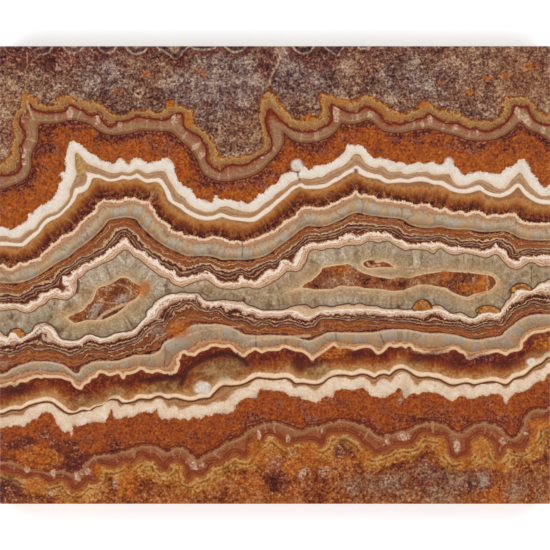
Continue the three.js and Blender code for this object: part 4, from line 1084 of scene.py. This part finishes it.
    # 8 cream comb, then pinkish tan
    top, low = low, g.read("greenTop") + shake * 0.5
    t = share(top, low)
    comb = g.ramp(t + fibre * 0.35 + fine * 0.4 + crinkle * 0.8, (0.0, (210, 172, 138)), (0.25, (186, 138,
        106)), (0.42, (160, 106, 78)), (0.6, (192, 148, 114)), (0.8, (174, 122, 88)), (1.0, (178, 138,
        102)))
    comb = g.mix((top - 1.5).line(0.0, 2.4, 1.2), comb, (232, 202, 170))
    colour = g.mix(top.step(softness), colour, comb)

    # 9 grey-green, in blocks that stand across the band
    top, low = low, g.read("greenBase") + shake * 0.4
    t = share(top, low)
    block = streaks("combTop", 0.075)
    green = g.ramp(t + fibre * 0.45 + fine * 0.3 + crinkle * 0.5, (0.0, (164, 124, 90)), (0.12, (184, 150,
        116)), (0.36, (196, 168, 136)), (0.62, (172, 140, 108)), (0.84, (148, 112, 82)), (1.0, (186, 148,
        112)))
    cool = g.ramp(t + fibre * 0.5 + fine * 0.2, (0.0, (176, 158, 136)), (0.4, (182, 168, 148)),
                  (0.7, (152, 138, 122)), (1.0, (134, 112, 92)))
    green = g.mix((block * 6.0 + patch * 2.0 - 0.1).step(0.8) * 0.85, green, cool)
    green = g.mix((block * -6.0 + patch * 2.0 - 0.5).step(0.8) * 0.5, green, g.ramp(t + fibre * 0.5, (0.0,
        (190, 158, 114)), (0.6, (176, 142, 100)), (1.0, (148, 110, 76))))
    green = g.mix((abs(block) * -1.0 + 0.012 + patch * 0.04).step(0.03) * 0.5, green, (122, 94, 72))
    green = g.mix((low + 1.0).line(0.0, 1.4) * (0.35 + patch * 2.0), green, (208, 172, 134))
    colour = g.mix(top.step(softness), colour, green)

    # 10 laminae down to the grey rail
    top, low = low, g.read("rail") + shake * 0.5
    t = share(top, low)
    stripes = t + crinkle + worm * 0.25 + grain * 0.12 + fine * 0.24 + patch * 0.25
    laminae = g.ramp(stripes, (0.0, (62, 28, 18)), (0.1, (88, 40, 24)), (0.17, (182, 116, 64)), (0.26, (108,
        50, 28)), (0.33, (214, 168, 122)), (0.39, (92, 42, 26)), (0.5, (166, 102, 60)), (0.58, (66, 30,
        20)), (0.66, (186, 132, 90)), (0.75, (224, 188, 148)), (0.82, (108, 54, 34)), (0.95, (60, 28, 20)))
    warmer = g.ramp(stripes, (0.0, (84, 40, 24)), (0.12, (148, 80, 42)), (0.24, (126, 62, 34)), (0.36, (172,
        102, 56)), (0.46, (120, 58, 34)), (0.6, (166, 104, 64)), (0.68, (96, 46, 30)), (0.78, (206, 164,
        122)), (0.86, (108, 56, 36)), (0.97, (70, 34, 24)))
    laminae = g.mix((broad * 5.0 + patch * 1.5).step(1.0), laminae, warmer)
    colour = g.mix(top.step(softness), colour, laminae)
    rail = low + ripple * 2.0 + worm * 2.0
    colour = g.mix(rail.line(0.0, 3.8) * 0.9, colour, (76, 36, 24))
    colour = g.mix(rail.line(0.0, 1.6) * (0.8 + patch * 2.0), colour,
                   g.ramp(0.5 + grain * 2.0, (0.2, (146, 102, 78)), (0.8, (190, 152, 124))))

    # 11 the dark band, 12 inner cream
    top, low = low, g.read("creamTop") + shake * 0.7 + ripple * 1.6 + bumps * 10.0 - 1.2
    t = share(top, low)
    dark = g.ramp(t + crinkle + worm * 0.3 + grain * 0.2 + fine * 0.22, (0.0, (140, 92, 64)), (0.1, (74, 36,
        24)), (0.3, (92, 48, 30)), (0.42, (188, 140, 102)), (0.52, (76, 36, 24)), (0.7, (96, 50, 32)),
        (0.86, (120, 70, 46)), (1.0, (204, 164, 132)))
    dark = g.mix((patch * 6.0 + fine * 3.0 + broad * 3.0 - 0.9).step(0.7) * 0.5, dark, (150, 88, 54))
    colour = g.mix((top - 1.6).step(0.9), colour, dark)
    top, low = low, g.read("creamBase") + shake * 0.5
    t = share(top, low)
    inner = g.ramp(t + crinkle + worm * 0.4 + fine * 0.18, (0.0, (186, 142, 112)), (0.07, (228, 202, 178)),
        (0.2, (240, 226, 210)), (0.34, (232, 208, 186)), (0.41, (178, 128, 98)), (0.49, (222, 190, 160)),
        (0.6, (214, 176, 144)), (0.68, (168, 118, 88)), (0.77, (216, 180, 146)), (0.87, (196, 154, 118)),
        (1.0, (146, 104, 76)))
    inner = g.mix((low + 0.4).line(0.0, 1.5), inner, (116, 80, 58))
    colour = g.mix(top.step(softness), colour, inner)

    # 13 the grey heart, fibres standing on both its walls
    top, low = low, g.read("seamLow") + shake * 0.5
    fibreTop = streaks("creamBase", 0.14)
    fibreLow = streaks("seamLow", 0.14)
    upper = share(top, low)
    fibre = g.node("ShaderNodeMix", {"data_type": "FLOAT"}, {0: (upper - 0.5).step(0.3), 2: fibreTop,
        3: fibreLow})
    vug = g.read("vug") + shake
    heart = g.ramp(0.5 + fibre * 1.4 + patch * 1.3 + fine * 0.9 + grain * 0.4, (0.08, (112, 84, 60)), (0.28,
        (140, 112, 84)), (0.5, (158, 132, 102)), (0.7, (170, 146, 116)), (0.95, (196, 170, 138)))
    heart = g.mix((broad * 6.0 - 0.25 + fibre * 1.6 + patch * 1.5).step(1.0) * 0.7, heart,
        g.ramp(0.5 + fibre * 1.8 + fine, (0.1, (128, 112, 96)), (0.5, (156, 140, 120)), (0.9, (182, 168,
        148))))
    heart = g.mix((4.0 - top + fibre * 4.0).step(3.0) * 0.5, heart, (182, 156, 128))
    heart = g.mix((3.0 + low + fibre * 4.0).step(3.0) * 0.45, heart, (132, 116, 98))
    heart = g.mix((vug + 9.0 + fibre * 6.0).step(9.0) * 0.55, heart, (178, 144, 102))
    heart = g.mix((g.read("pale") * (1.0 + loose + fibre * 2.0) - 0.36).step(0.6) * 0.85, heart,
        g.ramp(0.5 + fibre * 1.8 + fine, (0.1, (148, 128, 108)), (0.5, (178, 158, 134)), (0.9, (206, 190,
        168))))
    heart = g.mix(honey * 0.6, heart, honeyTone)
    colour = g.mix(top.step(softness), colour, heart)

    # the brown hollows in it
    colour = g.mix((vug + 1.8).step(1.8) * 0.6, colour, (204, 168, 128))
    pool = g.ramp(0.5 + patch * 2.4 + worm * 0.9 + grain * 0.7 + fine * 0.7, (0.02, (62, 26, 18)),
                  (0.14, (100, 44, 26)), (0.2, (168, 114, 72)), (0.25, (78, 32, 20)), (0.36, (128, 64, 34)),
                  (0.45, (152, 84, 42)), (0.5, (86, 36, 22)), (0.55, (176, 124, 80)), (0.6, (134, 70, 36)),
                  (0.7, (168, 102, 56)), (0.77, (92, 42, 26)), (0.84, (202, 164, 124)), (0.95, (128, 72, 44)))
    pool = g.mix(g.read("vug").line(0.7, 1.7) * 0.9, pool, (222, 186, 144))
    colour = g.mix(vug.step(0.9), colour, pool)

    # 14 seam under the heart, 15 lower cream
    top, low = low, g.read("creamTopLow") + shake * 0.5
    t = share(top, low)
    fill = g.ramp(t + fine * 0.5 + grain * 0.4, (0.0, (164, 124, 92)), (0.4, (200, 164, 130)), (1.0, (216,
        182, 148)))
    fill = g.mix(top.line(0.4, 1.8), fill, (94, 58, 42))
    colour = g.mix(top.step(softness), colour, fill)
    dome = g.read("dome") + shake * 0.5
    colour = g.mix((dome + 1.2).step(1.0), colour, (92, 50, 30))
    colour = g.mix(dome.step(0.9), colour, g.ramp(0.5 + grain * 1.6 + fine * 0.8, (0.1, (126, 68, 34)),
        (0.5, (170, 108, 56)), (0.9, (210, 158, 92))))
    top, low = low, g.read("creamBaseLow") + shake * 0.7 + ripple * 1.6 - bumps * 10.0 + 1.2
    t = share(top, low)
    cream = g.ramp(t + crinkle + worm * 0.6 + fine * 0.2, (0.0, (216, 188, 160)), (0.14, (240, 226, 212)),
        (0.34, (234, 214, 194)), (0.44, (180, 134, 108)), (0.54, (226, 196, 170)), (0.64, (224, 196, 170)),
        (0.74, (158, 106, 80)), (0.85, (200, 158, 126)), (1.0, (118, 72, 50)))
    colour = g.mix(top.step(softness), colour, cream)

    # 16 dark band, 17 laminae under the lower rail
    top, low = low, g.read("railLow") + shake * 0.5
    t = share(top, low)
    dark = g.ramp(t + crinkle + worm * 0.3 + grain * 0.2 + fine * 0.26, (0.0, (134, 82, 54)), (0.12, (66,
        30, 18)), (0.36, (92, 48, 28)), (0.5, (220, 174, 134)), (0.62, (80, 38, 24)), (0.78, (108, 60, 36)),
        (0.9, (190, 140, 100)), (1.0, (78, 38, 24)))
    dark = g.mix((patch * 6.0 + fine * 3.0 + broad * 3.0 - 0.8).step(0.7) * 0.5, dark, (152, 92, 58))
    colour = g.mix(top.step(softness), colour, dark)
    top, low = low, g.read("greenTopLow") + shake * 0.5
    t = share(top, low)
    stripes = t + crinkle + worm * 0.3 + grain * 0.14 + fine * 0.26 + patch * 0.3
    laminae = g.ramp(stripes, (0.0, (66, 28, 18)), (0.12, (216, 172, 130)), (0.2, (96, 44, 26)), (0.34,
        (150, 84, 46)), (0.46, (64, 28, 18)), (0.54, (206, 152, 106)), (0.61, (92, 42, 26)), (0.76, (164,
        96, 56)), (0.86, (70, 30, 18)), (0.94, (74, 32, 20)), (1.0, (152, 98, 68)))
    warmer = g.ramp(stripes, (0.0, (84, 40, 26)), (0.14, (162, 100, 60)), (0.3, (118, 58, 34)), (0.46, (172,
        106, 58)), (0.58, (116, 56, 32)), (0.72, (168, 100, 58)), (0.84, (122, 62, 38)), (0.93, (84, 38,
        26)), (1.0, (140, 86, 60)))
    laminae = g.mix((broad * 5.0 + patch * 1.5).step(1.0), laminae, warmer)
    colour = g.mix((top - 1.6).step(0.9), colour, laminae)
    rail = top + ripple * 2.0 + worm * 2.0
    colour = g.mix(rail.line(0.0, 3.8) * 0.85, colour, (80, 38, 26))
    colour = g.mix(rail.line(0.0, 1.6) * (0.8 + patch * 2.0), colour,
                   g.ramp(0.5 + grain * 2.0, (0.2, (144, 100, 76)), (0.8, (188, 150, 120))))

    # 18 lower grey-green
    top, low = low, g.read("greenBaseLow") + shake * 0.4
    t = share(top, low)
    fibre = streaks("combBaseLow", 0.3)
    block = streaks("combBaseLow", 0.075)
    green = g.ramp(t + fibre * 0.5 + fine * 0.3 + crinkle * 0.5, (0.0, (192, 158, 126)), (0.3, (180, 150,
        118)), (0.6, (168, 134, 102)), (1.0, (164, 124, 88)))
    cool = g.ramp(t + fibre * 0.5 + fine * 0.2, (0.0, (184, 168, 150)), (0.5, (166, 150, 134)), (1.0, (140,
        118, 98)))
    green = g.mix((block * 6.0 + patch * 2.0 - 0.1).step(0.8) * 0.85, green, cool)
    green = g.mix((block * -6.0 + patch * 2.0 - 0.5).step(0.8) * 0.5, green, g.ramp(t + fibre * 0.5, (0.0,
        (192, 158, 114)), (0.6, (176, 138, 98)), (1.0, (150, 110, 76))))
    green = g.mix((abs(block) * -1.0 + 0.012 + patch * 0.04).step(0.03) * 0.5, green, (126, 96, 74))
    green = g.mix(top.line(1.4, 1.6), green, (204, 172, 136))
    colour = g.mix(top.step(softness), colour, green)

    # 19 pinkish tan and the lower comb
    top, low = low, g.read("combBaseLow") + shake * 0.9
    t = share(top, low)
    comb = g.ramp(t + fibre * 0.35 + fine * 0.4 + crinkle * 0.7, (0.0, (144, 86, 54)), (0.14, (180, 128,
        88)), (0.34, (194, 146, 106)), (0.5, (162, 104, 70)), (0.7, (192, 138, 96)), (1.0, (218, 174, 132)))
    comb = g.mix((low + 1.6).line(0.0, 2.6, 1.2), comb, (226, 188, 148))
    colour = g.mix(top.step(softness), colour, comb)

    # 20 dark into gold over the lower thread
    top, low = low, g.read("threadTopLow") + shake * 0.4
    t = share(top, low)
    fibre = streaks("combBaseLow", 0.34)
    gold = g.ramp(t + fibre * 0.45 + grain * 0.7 + fine * 0.3 + broad * 0.8, (0.0, (114, 50, 22)),
                  (0.18, (90, 34, 12)), (0.38, (120, 52, 18)), (0.56, (142, 70, 30)), (0.76, (162, 102, 56)),
                  (0.95, (182, 132, 84)))
    gold = g.mix((fine * 3.0 + cell * 1.8 - 0.4 - t).step(0.6) * 0.6, gold, (160, 84, 46))
    gold = g.mix(honey * 0.8, gold, honeyTone)
    colour = g.mix(top.step(softness), colour, gold)

    # 21 lower thread, 22 gap with a dark line, 23 lower thick white
    top, low = low, g.read("threadBaseLow") + shake * 0.4
    thread = g.ramp(share(top, low) + fine * 0.3 + crinkle * 0.6, (0.0, (206, 168, 132)), (0.25, (236, 206,
        174)), (0.75, (234, 204, 172)), (1.0, (198, 154, 116)))
    colour = g.mix(top.step(softness), colour, thread)
    top, low = low, g.read("whiteTopLow") + shake * 0.6
    gap = g.ramp(share(top, low) + fine * 0.4 + grain * 0.4 + crinkle, (0.0, (142, 88, 54)), (0.3, (156,
        104, 66)), (0.5, (178, 130, 90)), (0.7, (154, 102, 66)), (1.0, (188, 142, 102)))
    gap = g.mix((top - 0.9).line(0.0, 1.8), gap, (98, 56, 36))
    colour = g.mix(top.step(softness), colour, gap)
    top, low = low, g.read("whiteBaseLow") + shake * 1.3 - bumps * 6.0 + 0.6
    white = g.ramp(share(top, low) + fine * 0.26 + grain * 0.34 + crinkle * 0.6, (0.0, (210, 174, 138)),
        (0.12, (228, 202, 174)), (0.5, (230, 206, 180)), (0.86, (222, 194, 166)), (1.0, (184, 138, 104)))
    white = g.mix((patch * 5.0 + grain * 3.0 + fine * 3.0 - 0.7).step(1.2) * 0.55, white, (198, 164, 136))
    white = g.mix((0.025 - bumps + patch * 0.1).step(0.04) * 0.5, white, (196, 160, 130))
    white = g.mix((grain * 4.0 - patch * 3.0 - 0.5).step(0.8) * 0.6, white, (236, 222, 206))
    colour = g.mix(top.step(softness), colour, white)

    # 24 lower rust
    top, low = low, g.read("greyTopLow") + shake * 0.4
    rust = g.ramp(rustMix, (0.08, (98, 38, 20)), (0.32, (134, 58, 26)), (0.52, (156, 76, 32)),
                  (0.72, (168, 92, 42)), (0.95, (190, 120, 66)))
    rust = g.mix((0.1 + low * 0.03 + grain * 2.4 + patch * 4.6).step(0.8) * 0.88, rust, specks)
    rust = g.mix((fine * 3.0 + patch * 4.0 + cell - 0.75).step(0.5) * 0.6, rust, (104, 42, 26))
    rust = g.mix(low.line(-3.6, 1.3) * (0.4 + patch * 2.6), rust, (92, 34, 26))
    rust = g.mix((low + 0.6).line(0.0, 1.5), rust, (100, 44, 28))
    colour = g.mix(top.step(softness), colour, rust)

    # 25 lower grey-brown
    top, low = low, g.read("redLow") + shake * 0.5
    t = share(top, low)
    fibre = streaks("greyTopLow", 0.16)
    inward = t * 0.3 + top * 0.045
    band = g.ramp(inward + fibre * 0.35 + fine * 0.6 + grain * 0.3 + patch * 0.3, (0.0, (108, 46, 30)),
        (0.1, (140, 78, 50)), (0.24, (158, 110, 74)), (0.4, (146, 90, 56)), (0.49, (120, 52, 32)), (0.57,
        (156, 90, 56)), (0.7, (144, 74, 44)), (0.82, (160, 102, 68)), (0.96, (142, 74, 44)))
    band = g.mix((broad * 6.0 + patch * 3.0 + fibre * 1.5 - 0.3).step(1.0) * 0.55, band,
        g.ramp(inward + fine * 0.5, (0.1, (140, 78, 50)), (0.4, (156, 106, 72)), (0.7, (142, 72, 40))))
    band = g.mix((low + 1.6 + grain * 3.0).line(0.0, 2.6) * 0.8, band, (122, 50, 30))
    band = g.mix((fibre * 4.0 + patch * 2.0 + fine * 1.5 - 0.75).step(0.7) * 0.6, band, (180, 134, 98))
    # painted glints: pale crystal tips lightened as if catching the light
    band = g.mix((glow * (0.85 + fibre * 5.0 + fine) - 0.34).step(0.4) * 0.8, band, paintedGlintTone)
    band = g.mix((top - 3.0).line(0.0, 1.2) * (0.5 + patch * 3.0), band, (178, 132, 96))
    colour = g.mix(top.step(1.0), colour, band)

    # 26 the red line under it, then ochre and the lower matrix
    top = low + ripple * 1.6
    bottom = g.ramp(speckle, (0.1, (82, 32, 22)), (0.34, (120, 58, 32)), (0.52, (146, 82, 42)), (0.7, (164,
        106, 62)), (0.92, (202, 164, 122)))
    smooth = g.ramp(rustMix, (0.1, (118, 52, 22)), (0.5, (164, 84, 32)), (0.9, (192, 116, 54)))
    bottom = g.mix((broad * 3.0 + patch * 3.4 - 0.1).step(0.8) * 0.85, bottom, smooth)
    greyer = g.ramp(speckle, (0.1, (84, 46, 40)), (0.35, (112, 72, 60)), (0.52, (132, 88, 66)), (0.7, (154,
        116, 88)), (0.92, (172, 136, 106)))
    bottom = g.mix((g.read("lilac") * 2.2 - 0.6 + patch * 3.4).step(0.9), bottom, greyer)
    ochre = g.ramp(speckle, (0.1, (112, 58, 28)), (0.4, (152, 92, 40)), (0.6, (174, 112, 50)), (0.9, (200,
        152, 92)))
    bottom = g.mix((17.0 - top + grain * 14.0 + patch * 16.0).step(5.0) * 0.9, bottom, ochre)
    wiggle = top + ripple * 3.0 + fine * 2.0
    bottom = g.mix(honey * 0.8, bottom, honeyTone)
    bottom = g.mix(wiggle.line(11.5, 1.4) * (0.5 + patch * 4.0), bottom, (192, 152, 98))
    bottom = g.mix(wiggle.line(9.4, 1.0) * (0.5 - patch * 4.0), bottom, (124, 66, 32))
    bottom = g.mix(wiggle.line(7.2, 1.7) * (0.8 + patch * 3.0), bottom, (190, 146, 90))
    bottom = g.mix((4.2 - top + grain * 2.0).step(1.0), bottom, (150, 80, 44))
    bottom = g.mix((1.8 - top).step(1.0) * (0.75 + patch * 3.0), bottom, (118, 50, 28))
    colour = g.mix(low.step(1.0), colour, bottom)

    # single patches and lines
    def blot(name, ragged=1.6, soft=0.5, fill=1.0):
        return (g.read(name) * (fill + loose * ragged) - 0.6 * soft).step(soft)

    colour = g.mix(blot("maroon", 3.0, 0.4) * 0.8, colour, g.ramp(speckle + fine * 0.4, (0.18, (46, 16,
        18)), (0.4, (80, 32, 28)), (0.58, (114, 56, 44)), (0.78, (148, 98, 78)), (0.95, (182, 138, 112))))
    colour = g.mix(blot("orange", 2.2) * 0.85, colour,
                   g.ramp(rustMix, (0.1, (124, 58, 24)), (0.5, (172, 92, 34)), (0.9, (204, 132, 60))))
    colour = g.mix(blot("olive", 0.8, 0.8) * 0.9, colour, g.ramp(0.5 + fibre * 1.6 + grain + fine * 0.6,
        (0.15, (112, 74, 42)), (0.5, (142, 104, 66)), (0.85, (170, 132, 88))))
    colour = g.mix(blot("dark", 2.4, 0.6) * 0.85, colour, g.ramp(0.5 + grain * 1.6 + fine * 1.4, (0.15, (40,
        16, 12)), (0.6, (82, 36, 22)), (0.9, (124, 66, 40))))
    colour = g.mix(blot("grey", 1.2, 0.8) * 0.8, colour,
                   g.ramp(0.5 + fine * 1.6 + grain, (0.2, (146, 124, 106)), (0.8, (186, 166, 146))))
    colour = g.mix(blot("chalk", 0.4, 0.5) * 0.9, colour,
                   g.ramp(0.5 + grain * 1.6 + patch, (0.2, (206, 190, 176)), (0.8, (232, 222, 212))))
    colour = g.mix(blot("cream", 2.6, 0.6) * 0.7, colour, g.ramp(0.5 + fine * 2.4 + grain, (0.15, (130, 90,
        66)), (0.5, (176, 144, 116)), (0.85, (210, 184, 156))))
    colour = g.mix((g.read("smear") + grain * 9.0 + fine * 5.0).step(1.8) * 0.85, colour,
                   g.ramp(0.5 + grain * 1.6 + fine, (0.15, (38, 16, 12)), (0.85, (84, 38, 24))))
    colour = g.mix((g.read("darkLine") + shake * 0.5).step(1.2) * 0.75, colour, (84, 42, 26))
    colour = g.mix((g.read("paleLine") + shake * 0.9).step(1.2) * 0.75, colour, (210, 176, 142))

    # a last grain over every band, then polish on the face and saw marks on the sides and back
    colour = g.mix(onyx["grainOver"], colour, g.ramp(0.5 + fine * 1.4 + grain * 0.4, (0.0, (120, 112, 106)),
        (0.5, (190, 188, 186)), (1.0, (246, 244, 240))), "OVERLAY")
    sawn = (g.read("depth") - 0.35).step(0.3)
    rough = g.node("ShaderNodeMix", {"data_type": "FLOAT"}, {0: sawn, 2: onyx["polish"] + abs(fine) * 0.12,
                                                            3: onyx["sawn"] + grain * 0.2})
    colour = g.tint(sawn * (0.5 + grain), colour, (1.12, 1.14, 1.16))
    cuts = g.node("ShaderNodeMapping", None, {"Vector": raw, "Scale": onyx["sawMarks"]})
    marks = g.noise(cuts, 1.0, 2.0, 0.6) * (g.read("depth") - 0.35).step(0.3)
    g.feed("Normal", g.node("ShaderNodeBump", None, {"Strength": onyx["sawStrength"],
        "Distance": onyx["sawDepth"], "Height": marks}))
    g.feed("Base Color", colour)
    g.feed("Roughness", rough)
    g.feed("Specular IOR Level", onyx["specular"])
    return g.material


def makeFloor():
    mesh = bmesh.new()
    bmesh.ops.create_grid(mesh, x_segments=2, y_segments=2, size=3.0)
    data = bpy.data.meshes.new("floor")
    mesh.to_mesh(data)
    mesh.free()
    floor = bpy.data.objects.new("floor", data)
    bpy.context.scene.collection.objects.link(floor)
    g = Graph("palePaper")
    g.feed("Base Color", (0.95, 0.95, 0.95, 1.0))
    g.feed("Roughness", 0.9)
    g.feed("Emission Color", (1.0, 1.0, 1.0, 1.0))
    g.feed("Emission Strength", 0.2)
    data.materials.append(g.material)


view = {
    "lens": 100.0, "sensor": 36.0,
}


def makeCamera():
    data = bpy.data.cameras.new("camera")
    data.lens, data.sensor_width = view["lens"], view["sensor"]
    camera = bpy.data.objects.new("camera", data)
    camera.location = (0, 0, highCorner[2] + view["lens"] * picture["frameWidth"] / view["sensor"])
    camera.rotation_euler = (0, 0, 0)
    data.clip_end = 20.0
    bpy.context.scene.collection.objects.link(camera)
    bpy.context.scene.camera = camera


lamps = {
    # where each lamp stands, how wide it is and how strong; all face the slab
    "left": ((-1.3, -1.0, 1.5), 1.3, 19.0),
    "right": ((1.3, -0.9, 1.5), 1.3, 15.0),
    "backLeft": ((-1.1, 1.2, 1.5), 1.3, 13.0),
    "backRight": ((1.2, 1.1, 1.5), 1.3, 13.0),
}


def makeLights():
    for name, (place, wide, power) in lamps.items():
        data = bpy.data.lights.new(name, "AREA")
        data.size, data.energy = wide, power
        lamp = bpy.data.objects.new(name, data)
        lamp.location = place
        lamp.rotation_euler = (-Vector(place)).to_track_quat("-Z", "Y").to_euler()
        bpy.context.scene.collection.objects.link(lamp)
    world = bpy.data.worlds.new("studio")
    world.use_nodes = True
    world.node_tree.nodes["Background"].inputs["Color"].default_value = (1, 1, 1, 1)
    world.node_tree.nodes["Background"].inputs["Strength"].default_value = light["world"]
    bpy.context.scene.world = world
    bpy.context.scene.view_settings.view_transform = "Standard"


makeCamera()
makeLights()
makeFloor()
print("studio ready")
piece = makeSlab()
readBands(piece)
piece.data.materials.append(makeOnyx())
print("onyx finish made")
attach(piece, "root")
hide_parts("slab")
